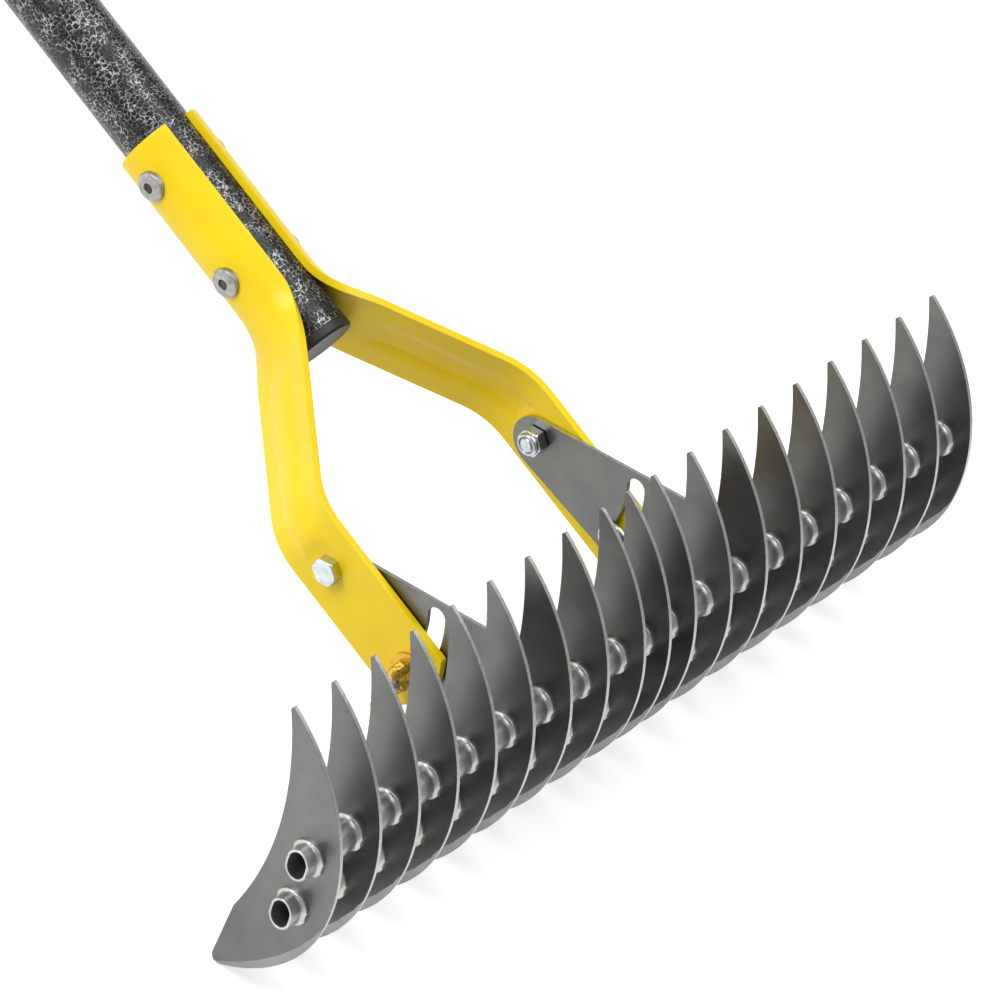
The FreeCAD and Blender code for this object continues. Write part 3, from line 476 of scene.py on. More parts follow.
def crackle_coat():
    """Black islands with silver veins between them."""
    material, tree, shader, _, place = new_finish("silver_vein_crackle", IOR=1.45)
    wander = add(tree, "ShaderNodeTexNoise", {"Vector": place, "Scale": every(1.6), "Detail": 4.0,
                                              "Roughness": 0.65})
    bent = add(tree, "ShaderNodeVectorMath", {0: wander.outputs["Color"], 1: (0.5, 0.5, 0.5)},
               operation="SUBTRACT")
    bent = add(tree, "ShaderNodeVectorMath", {0: bent.outputs[0], "Scale": 2.6 * MM}, operation="SCALE")
    bent = add(tree, "ShaderNodeVectorMath", {0: place, 1: bent.outputs[0]}, operation="ADD").outputs[0]
    islands = add(tree, "ShaderNodeTexVoronoi", {"Vector": bent, "Scale": every(1.9)},
                  feature="DISTANCE_TO_EDGE").outputs["Distance"]
    patches = noise(tree, place, 6.0, 2.0, 0.5)
    breaks = noise(tree, place, 1.0, 3.0, 0.7)
    both = add(tree, "ShaderNodeMath", {0: patches, 1: breaks}, operation="MULTIPLY").outputs[0]
    width = add(tree, "ShaderNodeMapRange", {"Value": both, "From Min": 0.16, "From Max": 0.36,
                                             "To Min": -0.01, "To Max": 0.075}).outputs["Result"]
    gap = add(tree, "ShaderNodeMath", {0: islands, 1: width}, operation="SUBTRACT").outputs[0]
    vein = add(tree, "ShaderNodeMapRange", {"Value": gap, "From Min": -0.03, "From Max": 0.025,
                                            "To Min": 1.0, "To Max": 0.0}).outputs["Result"]
    tint(tree, shader, vein, (0.0, "040405"), (1.0, "b2b2b1"))
    metal = add(tree, "ShaderNodeMath", {0: vein, 1: 0.9}, operation="MULTIPLY").outputs[0]
    tree.links.new(metal, shader.inputs["Metallic"])
    height = add(tree, "ShaderNodeMath", {0: islands, 1: 0.3}, operation="MINIMUM").outputs[0]
    rough_and_bump(tree, shader, vein, 0.24, 0.36, height, 0.22)
    return material


CRACKLE = crackle_coat()
print("finish", CRACKLE.name)

# %% [markdown]
# ### Moulded plastic and rubber
# The plug and the end cap are injection moulded in black plastic from an eroded mould, which
# leaves a fine dull grain. The grip is a softer rubber with a coarser grain, so it hardly shines
# at all.

# %% Finishes for plug, cap and grip


def moulded(name, dark, light, low, high, grain, depth):
    """Plastic or rubber with a grain of a size in millimetres."""
    material, tree, shader, _, place = new_finish(name, IOR=1.5)
    spots = noise(tree, place, grain, 2.0)
    clouds = noise(tree, place, grain * 30, 2.0)
    tint(tree, shader, clouds, (0.3, dark), (0.7, light))
    rough_and_bump(tree, shader, clouds, low, high, spots, depth)
    return material


BLACK_PLASTIC = moulded("eroded_black_plastic", "161617", "1d1d1e", 0.42, 0.52, 0.5, 0.03)
GRIP_RUBBER = moulded("grained_rubber", "17181a", "202123", 0.6, 0.75, 1.2, 0.12)
print("finishes", len(bpy.data.materials))

# %% [markdown]
# ## Crescent blades
# A blade is one thin flat blank: a hollow arc inside, a round back outside, a straight heel below.
# It could be drawn as a curve and filled, or cut from a disc with booleans. Here one vertex is
# swept round the arcs' own centres, which keeps the outline exact and its points even. The fill
# leaves the tube holes open, one push gives the thickness, and the round back's lower stretch is
# ground to an edge by slicing it with tilted planes, as a wheel does.

# %% Sizes of a blade
BLADE = 1.6
TIP = (0.5, 61.4)
HEEL = (39.4, -31.2)
CORNER = (55.5, -59.2)
BELLY = (-0.5, -31.3)
INNER_RADIUS = 142.0
OUTER_RADIUS = 78.3
BELLY_RADIUS = 68.5
LOW_TUBE = (10.5, -22.5)
HOLE_RADIUS = 6.8
LUG_END = (72.6, 44.1)
LUG_RADIUS = 10.9
LUG_ROOT_TOP = 38.9
LUG_ROOT_LOW = -11.0
TIP_ROUND = 1.15
CORNER_ROUND = 3.3
SLOT_RADIUS = 46.6
SLOT_WIDTH = 7.8
SLOT_ANGLE = 33.5
BOLT_HOLE = 3.05
LUG_ROOT_ROUND = 2.3
TUMBLED = 0.3
GRIND_SLICES = 9
GRIND_DEPTH = 1.2
GRIND_WIDTH = 3.8
GROUND_AREA = 4.0
print("blade", BLADE, "mm thick, from", CORNER[1], "to", TIP[1])

# %% [markdown]
# ### Outline functions
# The outline is known by its corners and radii. These functions find where its arcs have their
# centres and where they meet, and draw from one place to the next.

# %% Functions for outlines


def arc_centre(start, end, radius, side):
    """The centre of an arc through two points, on the left of the way between them for side 1."""
    chord = Vector(end) - Vector(start)
    rise = math.sqrt(radius ** 2 - (chord.length / 2) ** 2)
    left = Vector((-chord.y, chord.x)).normalized()
    return (Vector(start) + Vector(end)) / 2 + left * rise * side


def arc_to(start, end, centre, spacing=2.5):
    """Sweeps the last vertex of an outline round a centre to a point, with a point every few
    millimetres."""
    first = Vector(start) - Vector(centre)
    last = Vector(end) - Vector(centre)
    turn = math.degrees(math.atan2(first.cross(last), first.dot(last)))
    count = max(2, round(math.radians(abs(turn)) * first.length / spacing))
    sweep((centre[0], centre[1], 0.0), turn, count)


def line_to(start, end):
    """Draws a straight line on from the last vertex."""
    push(end[0] - start[0], end[1] - start[1])


def tangent_from(point, centre, radius, side):
    """Where a line from a point touches a circle, on the left of the line for side 1."""
    reach = Vector(centre) - Vector(point)
    heading = math.atan2(reach.y, reach.x) + side * math.asin(radius / reach.length)
    run = math.sqrt(reach.length ** 2 - radius ** 2)
    return Vector(point) + run * Vector((math.cos(heading), math.sin(heading)))


def meet(first, first_reach, second, second_reach, near):
    """Where two circles meet, the one of the two places that is closer to a point."""
    gap = second - first
    run = (first_reach ** 2 - second_reach ** 2 + gap.length_squared) / (2 * gap.length)
    rise = math.sqrt(first_reach ** 2 - run ** 2)
    ahead = gap.normalized()
    aside = Vector((-ahead.y, ahead.x))
    spots = [first + ahead * run + aside * rise * side for side in (1, -1)]
    return min(spots, key=lambda spot: (spot - Vector(near)).length)


def toward(start, end, reach):
    """The place at a distance from one point on the way to another."""
    return start + (end - start).normalized() * reach


# %% [markdown]
# ### Centres of the arcs
# The tip's small round touches the hollow arc and the back, and the heel's round touches the
# straight heel and the belly. Both are worked out exactly, so the blade is no longer than its
# solid.

# %% Find the centres
INNER_CENTRE = arc_centre(TIP, HEEL, INNER_RADIUS, 1)
OUTER_CENTRE = arc_centre(BELLY, TIP, OUTER_RADIUS, -1)
BELLY_CENTRE = arc_centre(CORNER, BELLY, BELLY_RADIUS, -1)
TIP_CENTRE = meet(INNER_CENTRE, INNER_RADIUS + TIP_ROUND, OUTER_CENTRE, OUTER_RADIUS - TIP_ROUND, TIP)
TIP_IN = toward(INNER_CENTRE, TIP_CENTRE, INNER_RADIUS)
TIP_OUT = toward(OUTER_CENTRE, TIP_CENTRE, OUTER_RADIUS)


def heel_corner():
    """The corner's round: its centre, and where it leaves the heel's line and the belly's arc."""
    along = (Vector(CORNER) - Vector(HEEL)).normalized()
    inward = Vector((along.y, -along.x))
    offset = Vector(HEEL) + inward * CORNER_ROUND - BELLY_CENTRE
    forward = offset.dot(along)
    spare = forward ** 2 - offset.length_squared + (BELLY_RADIUS - CORNER_ROUND) ** 2
    centre = BELLY_CENTRE + offset + along * (math.sqrt(spare) - forward)
    return centre, centre - inward * CORNER_ROUND, toward(BELLY_CENTRE, centre, BELLY_RADIUS)


CORNER_CENTRE, CORNER_HEEL, CORNER_BELLY = heel_corner()
print("tip's round about", [round(c, 2) for c in TIP_CENTRE])

# %% [markdown]
# ### Holes, slot and ground edge
# A lug blade has a hole for the pivot bolt and a curved slot about it. Every blade has two tube
# holes and a ground lower back, which is cut off by a row of tilted planes.

# %% Functions for holes and grinding


def on_inner_arc(up):
    """The place at one height on the blade's hollow edge."""
    return Vector((INNER_CENTRE.x - math.sqrt(INNER_RADIUS ** 2 - (up - INNER_CENTRE.y) ** 2), up))


def hole(across, up, radius, points=40):
    """Draws a round hole."""
    bpy.ops.mesh.primitive_circle_add(vertices=points, radius=radius * MM, location=(across * MM, up * MM, 0))


def slot_outline():
    """Draws the curved slot about the pivot, in which the clamp bolt slides."""
    rest = math.radians(HEAD_TILT + HALF_TURN)
    far = math.radians(HEAD_TILT + HALF_TURN - SLOT_ANGLE)
    pivot_spot = Vector((PIVOT_ACROSS, PIVOT_UP))

    def place(radius, heading):
        return pivot_spot + radius * Vector((math.cos(heading), math.sin(heading)))

    wide = SLOT_RADIUS + SLOT_WIDTH / 2
    narrow = SLOT_RADIUS - SLOT_WIDTH / 2
    dot(*place(wide, far))
    arc_to(place(wide, far), place(wide, rest), pivot_spot, 1.5)
    sweep((*place(SLOT_RADIUS, rest), 0.0), HALF_TURN, 12)
    arc_to(place(narrow, rest), place(narrow, far), pivot_spot, 1.5)
    sweep((*place(SLOT_RADIUS, far), 0.0), HALF_TURN, 12)


def grind():
    """Slices a crescent-shaped facet off the round back's lower stretch, on the face towards the
    left."""
    first = math.atan2(CORNER[1] - BELLY_CENTRE.y, CORNER[0] - BELLY_CENTRE.x)
    last = math.atan2(BELLY[1] - BELLY_CENTRE.y, BELLY[0] - BELLY_CENTRE.x)
    lean = math.atan2(GRIND_DEPTH, GRIND_WIDTH)
    for number in range(GRIND_SLICES):
        share = (number + 0.5) / GRIND_SLICES
        heading = first + (last - first) * share
        deepest = GRIND_WIDTH * math.sin(math.pi * share)
        out = Vector((math.cos(heading), math.sin(heading), 0))
        spot = Vector((*BELLY_CENTRE, 0)) + out * (BELLY_RADIUS - deepest)
        spot.z = -BLADE / 2
        slant = out * math.sin(lean) + Vector((0, 0, -1)) * math.cos(lean)
        take_all()
        bpy.ops.mesh.bisect(plane_co=spot * MM, plane_no=slant, use_fill=True, clear_outer=True)
    take_all()
    bpy.ops.mesh.fill_holes(sides=0)


def ground(face):
    """Says whether a face is one of the ground facets: wide, and leaning off the flat."""
    return face.calc_area() > GROUND_AREA * MM ** 2 and 0.8 < abs(face.normal.z) < 0.98


def cut(face):
    """Says whether a face lies on the blanked edge, upright to the flat."""
    return abs(face.normal.z) < 0.02


def round_corner(spot, radius):
    """Rounds the upright edge that stands at a corner of the outline."""
    def upright(edge):
        place = middle(edge)
        level = abs(edge.verts[0].co.z - edge.verts[1].co.z) / MM
        return level > BLADE / 2 and (Vector(place.xy) - Vector(spot)).length < 0.3
    pick("EDGE", upright)
    bpy.ops.mesh.bevel(offset=radius * MM, segments=5, affect="EDGES", clamp_overlap=False)


# %% [markdown]
# ### One crescent
# The outline goes from the tip down the hollow edge, round the lug where there is one, along the
# heel, and back up the belly and the round back. Then it is filled, thickened, ground and tumbled,
# and its faces get their three finishes.

# %% Function for a blade


def crescent(name, lug=False):
    """One blade, with or without its lug, lying flat about the head's middle plane."""
    piece = begin_dot(name, *TIP_IN)
    if lug:
        top, low = on_inner_arc(LUG_ROOT_TOP), on_inner_arc(LUG_ROOT_LOW)
        touch_top = tangent_from(top, LUG_END, LUG_RADIUS, 1)
        touch_low = tangent_from(low, LUG_END, LUG_RADIUS, -1)
        arc_to(TIP_IN, top, INNER_CENTRE)
        line_to(top, touch_top)
        arc_to(touch_top, touch_low, LUG_END, 1.5)
        line_to(touch_low, low)
        arc_to(low, HEEL, INNER_CENTRE)
    else:
        arc_to(TIP_IN, HEEL, INNER_CENTRE)
    line_to(HEEL, CORNER_HEEL)
    arc_to(CORNER_HEEL, CORNER_BELLY, CORNER_CENTRE, 0.8)
    arc_to(CORNER_BELLY, BELLY, BELLY_CENTRE)
    arc_to(BELLY, TIP_OUT, OUTER_CENTRE)
    arc_to(TIP_OUT, TIP_IN, TIP_CENTRE, 0.4)
    if lug:
        hole(PIVOT_ACROSS, PIVOT_UP, BOLT_HOLE, 24)
        slot_outline()
    hole(0.0, 0.0, HOLE_RADIUS)
    hole(*LOW_TUBE, HOLE_RADIUS)
    heal()
    bpy.ops.mesh.fill(use_beauty=True)
    thicken(BLADE)
    if lug:
        round_corner(on_inner_arc(LUG_ROOT_LOW), LUG_ROOT_ROUND)
    grind()
    soften(piece, TUMBLED, 2, smooth=16.0)
    for finish in (BLADE_STEEL, BLADE_EDGE, BLADE_GROUND):
        piece.data.materials.append(finish)
    bpy.ops.object.mode_set(mode="EDIT")
    finish_faces(piece, 1, cut)
    finish_faces(piece, 2, ground)
    bpy.ops.object.mode_set(mode="OBJECT")
    return piece

# %% [markdown]
# ### Nineteen blades from two patterns
# The plain blade and the lug blade are drawn once each. Every blade in the head is a copy with its
# own mesh, and its place along the head comes from its solid.

# %% Cut the blades and hang them along the head
BLADE_NODES = sorted(name for name in frame["nodes"] if "blade_" in name)


def blade_place(node):
    """A blade's middle plane along the head, from its solid."""
    low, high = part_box(node)
    return (low.x + high.x) / 2


BLADE_NODES.sort(key=blade_place)
plain = crescent("crescent_pattern")
lugged = crescent("lug_crescent_pattern", lug=True)
for node in BLADE_NODES:
    pattern = lugged if node.startswith("lug") else plain
    blade = twin(pattern, "steel_" + node)
    settle(blade, Matrix.Translation((blade_place(node), 0, 0)) @ HEAD)
    dress(blade, BLADE_STEEL, "head", "blade_steel", node)
for pattern in (plain, lugged):
    bpy.data.objects.remove(pattern)
BLADE_PLACES = [blade_place(node) / MM for node in BLADE_NODES]
print("blades", len(BLADE_PLACES))

# %% [markdown]
# ## Crimped tubes
# Each tube runs through all the blades, and a press then pinches it close to each side of every
# blade, so that the blade can't slide. A plain cylinder would look like a rod. Here one ring is
# pushed from station to station and stretched at each, so the tube is round between the blades,
# flares into two ears beside each one, and ends in a pinched oval mouth with a bore that runs
# right through.

# %% Sizes and functions for a tube
TUBE_RADIUS = 6.5
TUBE_STUB = 7.8
CRIMP_TURN = 24.8
MOUTH = (5.1, 6.9)
BORE = (4.1, 5.9)
RING_POINTS = 48
ENDS = [(1.1, 7.25, 7.6), (2.1, 7.2, 7.55), (2.6, 6.0, 7.1), (3.4, 5.3, 6.9)]
BESIDE = [(1.1, 7.25, 7.6), (2.1, 7.2, 7.55), (2.5, 6.4, 7.0), (3.3, 5.7, 6.6), (4.6, 5.7, 6.5),
          (6.6, 6.2, 6.5)]
NICK_HALF = 1.9
NICK_REACH = 2.2
NICK_PINCH = 0.94


def tube_stations():
    """Lists the rings as place along the head, half width and half height, in millimetres."""
    places = BLADE_PLACES
    rings = [(places[0] - TUBE_STUB, *MOUTH)]
    for number, spot in enumerate(places):
        left = ENDS if number == 0 else BESIDE
        right = ENDS if number == len(places) - 1 else BESIDE
        rings += [(spot - run, width, height) for run, width, height in reversed(left)]
        rings += [(spot + run, width, height) for run, width, height in right]
        if number + 1 < len(places):
            rings.append(((spot + places[number + 1]) / 2, TUBE_RADIUS, TUBE_RADIUS))
    rings.append((places[-1] + TUBE_STUB, *MOUTH))
    return rings


def crimped_tube(name):
    """A tube drawn about its own axis, with its pinch across x."""
    rings = tube_stations()
    deselect()
    bpy.ops.mesh.primitive_circle_add(vertices=RING_POINTS, radius=MM, location=(0, 0, rings[0][0] * MM))
    piece = begin(name)
    start, width, height = rings[0]
    spot = start
    stretch((width, height, 1), (0, 0, spot))
    for next_spot, next_width, next_height in rings[1:]:
        push(0, 0, next_spot - spot)
        stretch((next_width / width, next_height / height, 1), (0, 0, next_spot))
        spot, width, height = next_spot, next_width, next_height
    push(0, 0, 0)
    stretch((BORE[0] / width, BORE[1] / height, 1), (0, 0, spot))
    push(0, 0, start - spot)
    pick("EDGE", lambda edge: all(abs(vert.co.z / MM - start) < 0.01 for vert in edge.verts))
    bpy.ops.mesh.bridge_edge_loops()
    pick("VERT", lambda vert: pinched(vert.co / MM, start, spot))
    stretch((NICK_PINCH, 1, 1), (0, 0, 0))
    heal()
    soften(piece, 0.3, 2, 40.0)
    return piece


def pinched(place, start, end):
    """Says whether a point lies in the nick that the press leaves at the mouths and in each pair of
    ears."""
    if abs(place.y) > NICK_HALF:
        return False
    if min(abs(place.z - start), abs(place.z - end)) < 0.01:
        return True
    return min(abs(place.z - spot) for spot in BLADE_PLACES) < NICK_REACH


# %% [markdown]
# ### Two tubes
# Both tubes are pressed alike and turned so that the pinch runs along the blade.

# %% Press the tubes
for name, node, spot in (("pressed_upper_tube", "upper_head_tube", (0.0, 0.0)),
                         ("pressed_lower_tube", "lower_head_tube", LOW_TUBE)):
    tube = crimped_tube(name)
    turn = Matrix.Rotation(math.radians(CRIMP_TURN), 4, "Z")
    settle(tube, HEAD @ Matrix.Translation((spot[0] * MM, spot[1] * MM, 0)) @ turn)
    dress(tube, TUBE_ZINC, "head", "tube_zinc", node)
    print(name, "rings", len(tube_stations()))

# %% [markdown]
# ## Bent arms
# Each arm is one strip of sheet steel. It lies flat beside the lug, bends inwards, and curls into
# a saddle round the handle. A rib is pressed along its middle and turns over the bend. A solid cut
# to this shape would show hard creases, so the arm is grown as a single skin: a row of points is
# pushed and spun along the strip, a second row is spun round the handle, and a bridge joins the
# flat row to the curled one. Then the rib is raised, the skin gets its 3 mm, and subdivision
# rounds it as the press does.

# %% Sizes of an arm
ARM = 3.0
ARM_WIDTH = 34.0
ARM_FOOT = 56.8
LOW_BEND = 20.7
HIGH_BEND = 79.2
LOW_BEND_RADIUS = 34.0
SLOPE_END = 71.5
SADDLE_START = 97.0
SADDLE_END = 168.2
SADDLE_HALF = 66.0
ARM_OUTER = 61.1
SADDLE_OUTER = 17.05
COLUMNS = 24
FLAT_STEPS = 20
SLOPE_STEPS = 12
ROLLED_EDGE = 0.9
FOOT_ROUNDING = [(0.0, 7.0), (0.7, 9.3), (2.6, 13.0), (4.5, 16.5), (4.9, 17.0), (5.6, 17.0)]
SADDLE_ROWS = [SADDLE_START, 106.0, 116.0, 128.0, 140.0, 152.0, 160.0, 164.0, 166.6, SADDLE_END]
RIB_START = 7.0
RIB_END = 68.5
RIB_TIERS = [(7.3, 0.0, 0.25), (5.9, 1.5, 0.55), (4.5, 3.2, 0.55), (3.0, 5.0, 0.2)]
SLOPE = math.degrees(math.atan2(ARM_OUTER - SADDLE_OUTER, HIGH_BEND - LOW_BEND))
print("arms lean by", round(SLOPE, 1), "degrees")

# %% [markdown]
# ### The arm's skin
# The foot's rounded end comes first, then the flat, the bend, the slope and the saddle. The bridge
# between slope and saddle is the twist from flat to round.

# %% Functions for an arm


def arm_row(test_along):
    """Selects the cross row of edges that lies at one end of the skin."""
    pick("EDGE", lambda edge: test_along(middle(edge))
         and abs(edge.verts[0].co.x - edge.verts[1].co.x) < 1e-6)


def arm_skin(name):
    """The arm's outer face, drawn for the right side: x up the handle, y across the strip, z
    outwards."""
    half = ARM_WIDTH / 2
    piece = begin_dot(name, -ARM_FOOT, -half, ARM_OUTER)
    for _ in range(COLUMNS):
        push(0, ARM_WIDTH / COLUMNS, 0)
    take_all()
    width = half
    spot = -ARM_FOOT
    for number, (run, next_width) in enumerate(FOOT_ROUNDING):
        if number:
            push(run - FOOT_ROUNDING[number - 1][0], 0, 0)
            spot = -ARM_FOOT + run
        stretch((1, next_width / width, 1), (0, 0, 0))
        width = next_width
    run = LOW_BEND_RADIUS * math.tan(math.radians(SLOPE) / 2)
    bend_start = LOW_BEND - run
    for _ in range(FLAT_STEPS):
        push((bend_start - spot) / FLAT_STEPS, 0, 0)
    sweep((bend_start, 0, ARM_OUTER - LOW_BEND_RADIUS), SLOPE, 10, axis=(0, 1, 0))
    lean = math.radians(SLOPE)
    bend_end = LOW_BEND + run * math.cos(lean)
    for _ in range(SLOPE_STEPS):
        step = (SLOPE_END - bend_end) / SLOPE_STEPS
        push(step, 0, -step * math.tan(lean))
    return piece


def raise_rib():
    """Pushes the middle columns out along the face in low tiers, each shorter than the one
    below."""
    for half, inset, rise in RIB_TIERS:
        pick("VERT", lambda vert: abs(vert.co.y / MM) < half
             and RIB_START + inset < vert.co.x / MM < RIB_END - inset)
        bpy.ops.transform.shrink_fatten(value=rise * MM)


def saddle_skin():
    """Adds the curled part: a lengthwise row spun round the handle's axis."""
    turn = math.radians(SADDLE_HALF)
    dot(SADDLE_START, -SADDLE_OUTER * math.sin(turn), SADDLE_OUTER * math.cos(turn))
    for row, following in zip(SADDLE_ROWS, SADDLE_ROWS[1:]):
        push(following - row, 0, 0)
    pick("VERT", lambda vert: vert.co.x / MM > SADDLE_START - 0.1)
    sweep((0, 0, 0), -2 * SADDLE_HALF, COLUMNS, axis=(1, 0, 0))


def arm(name):
    """One arm, drawn for the right side in the handle's frame."""
    piece = arm_skin(name)
    saddle_skin()
    arm_row(lambda place: abs(place.x - SLOPE_END) < 0.1 or abs(place.x - SADDLE_START) < 0.1)
    bpy.ops.mesh.bridge_edge_loops(number_cuts=5, interpolation="SURFACE", smoothness=0.6)
    heal()
    pick("FACE", lambda face: face.normal.z < 0 and middle(face).x < 0)
    if piece.data.total_face_sel:
        take_all()
        bpy.ops.mesh.flip_normals()
    raise_rib()
    apply_modifier(piece, "sheet", "SOLIDIFY", thickness=ARM * MM, offset=-1.0, use_even_offset=True)
    apply_modifier(piece, "rolled_edges", "BEVEL", width=ROLLED_EDGE * MM, segments=2, limit_method="ANGLE",
                   angle_limit=math.radians(60.0))
    apply_modifier(piece, "press_rounding", "SUBSURF", levels=1, render_levels=1)
    bpy.ops.object.shade_smooth_by_angle(angle=math.radians(60.0))
    return piece

# %% [markdown]
# ### A right and a left arm
# The left arm is the right one turned half round the handle, so one pattern serves both.

# %% Press the arms
pressed = arm("arm_pattern")
for name, side in SIDES:
    piece = twin(pressed, "pressed_%s_arm" % name)
    settle(piece, HANDLE @ side)
    dress(piece, YELLOW_COAT, "handle", "yellow_paint", name + "_arm")
    print(piece.name, "faces", len(piece.data.polygons))
bpy.data.objects.remove(pressed)

# %% [markdown]
# ## Turned pieces
# The handle tube, its plug, the grip and every round fastener are turned: one outline goes right
# round an axis. A cylinder with its ends bevelled would do for a few of them, but an outline spun
# round the axis holds every collar, groove and dished end at its real size.

# %% Spin an outline


def turned(name, outline, sides=64, closed=True):
    """Spins an outline of (radius, height) points right round z."""
    radius, height = outline[0]
    piece = begin_dot(name, radius, 0, height)
    path = outline[1:] + (outline[:1] if closed else [])
    for next_radius, next_height in path:
        push(next_radius - radius, 0, next_height - height)
        radius, height = next_radius, next_height
    heal()
    take_all()
    sweep((0, 0, 0), FULL_TURN, sides)
    heal()
    return piece

# %% [markdown]
# ### Handle tube and plug
# The handle is a drawn steel tube with its crackle coat. It ends square at the plug, whose collar
# is as wide as the tube and slightly dished on its face, as moulded plugs are.

# %% Turn the handle tube and its plug
TUBE_OUT = 14.0
TUBE_BORE = 12.5
PLUG_START = 70.6
PLUG_COLLAR = 4.0
PLUG_SPIGOT = 20.0
HANDLE_END = 1440.0

tube_start = PLUG_START + PLUG_COLLAR
tube = turned("crackle_handle_tube", [(TUBE_BORE, tube_start), (TUBE_OUT, tube_start), (TUBE_OUT, HANDLE_END),
                                      (TUBE_BORE, HANDLE_END)], 96)
soften(tube, 0.3)
settle(tube, HANDLE @ ALONG)
dress(tube, CRACKLE, "handle", "crackle_coat", "handle_tube")

plug = turned("dished_plug", [
    (0.0, PLUG_START + 0.7), (8.0, PLUG_START + 0.5), (11.6, PLUG_START + 0.1), (12.2, PLUG_START),
    (13.2, PLUG_START), (14.0, PLUG_START + 0.9), (14.0, tube_start), (12.4, tube_start),
    (12.4, tube_start + PLUG_SPIGOT), (0.0, tube_start + PLUG_SPIGOT)], 96, closed=False)
soften(plug, 0.15, 2, 35.0)
settle(plug, HANDLE @ ALONG)
dress(plug, BLACK_PLASTIC, "handle", "black_plastic", "handle_plug")
print("tube from", tube_start, "to", HANDLE_END)

# %% [markdown]
# ### Grip and end cap
# The upper end isn't in the picture, so it gets what such handles have: a rubber sleeve with
# shallow rings for the hand and a moulded cap with a tongue to hang it by.

# %% Turn the grip and mould the cap
GRIP_START = 1190.0
GRIP_BORE = 14.05
GRIP_RADIUS = 16.5
COLLAR_RADIUS = 17.5
COLLAR_LENGTH = 9.0
RING_COUNT = 22
RING_PITCH = 9.6


def grip_outline():
    """The sleeve's half section: soft ends, a row of shallow rings, and a collar at the far end."""
    points = [(GRIP_BORE, GRIP_START), (GRIP_RADIUS - 1.2, GRIP_START), (GRIP_RADIUS, GRIP_START + 1.4)]
    first = GRIP_START + 12.0
    for number in range(RING_COUNT):
        spot = first + number * RING_PITCH
        points += [(GRIP_RADIUS, spot), (GRIP_RADIUS - 0.8, spot + 0.9), (GRIP_RADIUS - 0.8, spot + 2.1),
                   (GRIP_RADIUS, spot + 3.0)]
    points += [(GRIP_RADIUS, HANDLE_END - COLLAR_LENGTH - 1.0), (COLLAR_RADIUS, HANDLE_END - COLLAR_LENGTH),
               (COLLAR_RADIUS, HANDLE_END - 1.0), (COLLAR_RADIUS - 1.0, HANDLE_END), (GRIP_BORE, HANDLE_END)]
    return points


grip = turned("ringed_grip", grip_outline(), 64)
soften(grip, 0.35, 2, 20.0)
settle(grip, HANDLE @ ALONG)
dress(grip, GRIP_RUBBER, "handle", "grip_rubber", "handle_grip")

FLANGE = 4.0
FLANGE_RADIUS = 16.0
CAP_SPIGOT = 22.0
TONGUE_LENGTH = 26.0
TONGUE_HALF = 12.0
TONGUE = 8.0
HANG_HOLE = 5.0

flange = turned("cap_flange", [
    (0.0, HANDLE_END - CAP_SPIGOT), (12.4, HANDLE_END - CAP_SPIGOT), (12.4, HANDLE_END),
    (FLANGE_RADIUS, HANDLE_END), (FLANGE_RADIUS, HANDLE_END + FLANGE), (0.0, HANDLE_END + FLANGE)],
    64, closed=False)
soften(flange, 0.8, 3)
settle(flange, ALONG)

root = HANDLE_END + FLANGE - 2.0
round_middle = HANDLE_END + FLANGE + TONGUE_LENGTH - TONGUE_HALF
tongue = begin_dot("cap_tongue", root, -TONGUE_HALF)
push(round_middle - root, 0)
sweep((round_middle, 0, 0), HALF_TURN, 24)
push(root - round_middle, 0)
push(0, -2 * TONGUE_HALF)
hole(round_middle, 0.0, HANG_HOLE, 36)
heal()
bpy.ops.mesh.fill(use_beauty=True)
thicken(TONGUE)
soften(tongue, 1.0, 3)
cap = gather([flange, tongue], "hang_cap")
settle(cap, HANDLE)
dress(cap, BLACK_PLASTIC, "handle", "black_plastic", "handle_cap")
print("grip rings", RING_COUNT)

# %% [markdown]
# ### Blind rivets
# A blind rivet is pulled from outside: its low domed flange keeps a hole in the middle, where the
# broken mandrel sits dark and a little below the rim.

# %% Set the rivets
RIVET_PLACES = (109.0, 153.7)
MANDREL = 2.0

rivet = turned("rivet_pattern", [
    (0.0, -1.1), (5.9, -1.1), (5.9, 0.8), (5.6, 1.3), (4.8, 1.7), (3.6, 2.1), (2.7, 2.3), (2.15, 2.25),
    (1.95, 1.6), (1.85, 1.5), (1.8, 1.75), (0.0, 1.9)], 48, closed=False)
rivet.data.materials.append(RIVET_ALUMINIUM)
rivet.data.materials.append(MANDREL_STEEL)
finish_faces(rivet, 1, lambda face: math.hypot(*middle(face).xy) < MANDREL and middle(face).z > 0)
soften(rivet, 0.12, 2, 25.0, 40.0)
rivets = []
for _, side in SIDES:
    for along in RIVET_PLACES:
        copy = twin(rivet, "rivet")
        settle(copy, HANDLE @ side @ Matrix.Translation((along * MM, 0, SADDLE_OUTER * MM)))
        rivets.append(copy)
bpy.data.objects.remove(rivet)
dress(gather(rivets, "blind_rivets"), RIVET_ALUMINIUM, "handle", "rivet_aluminium", "arm_rivets")
print("rivets", len(rivets))

# %% [markdown]
# ### Pivot bolts and locking nuts
# Each arm turns on an M6 hexagon bolt. Its head is forged, with the corners chamfered off, and its
# locking nut has a domed collar that holds a nylon ring. The thread is drawn as rings, because a
# turn of real thread is finer than the render shows.

# %% Sizes and functions for bolts
BOLT = 3.0
PITCH = 1.0
ACROSS_FLATS = 10.0
HEAD_HEIGHT = 4.0
NUT_TOP = 55.5
NUT_HEX = 4.2
BOLT_END = 49.2


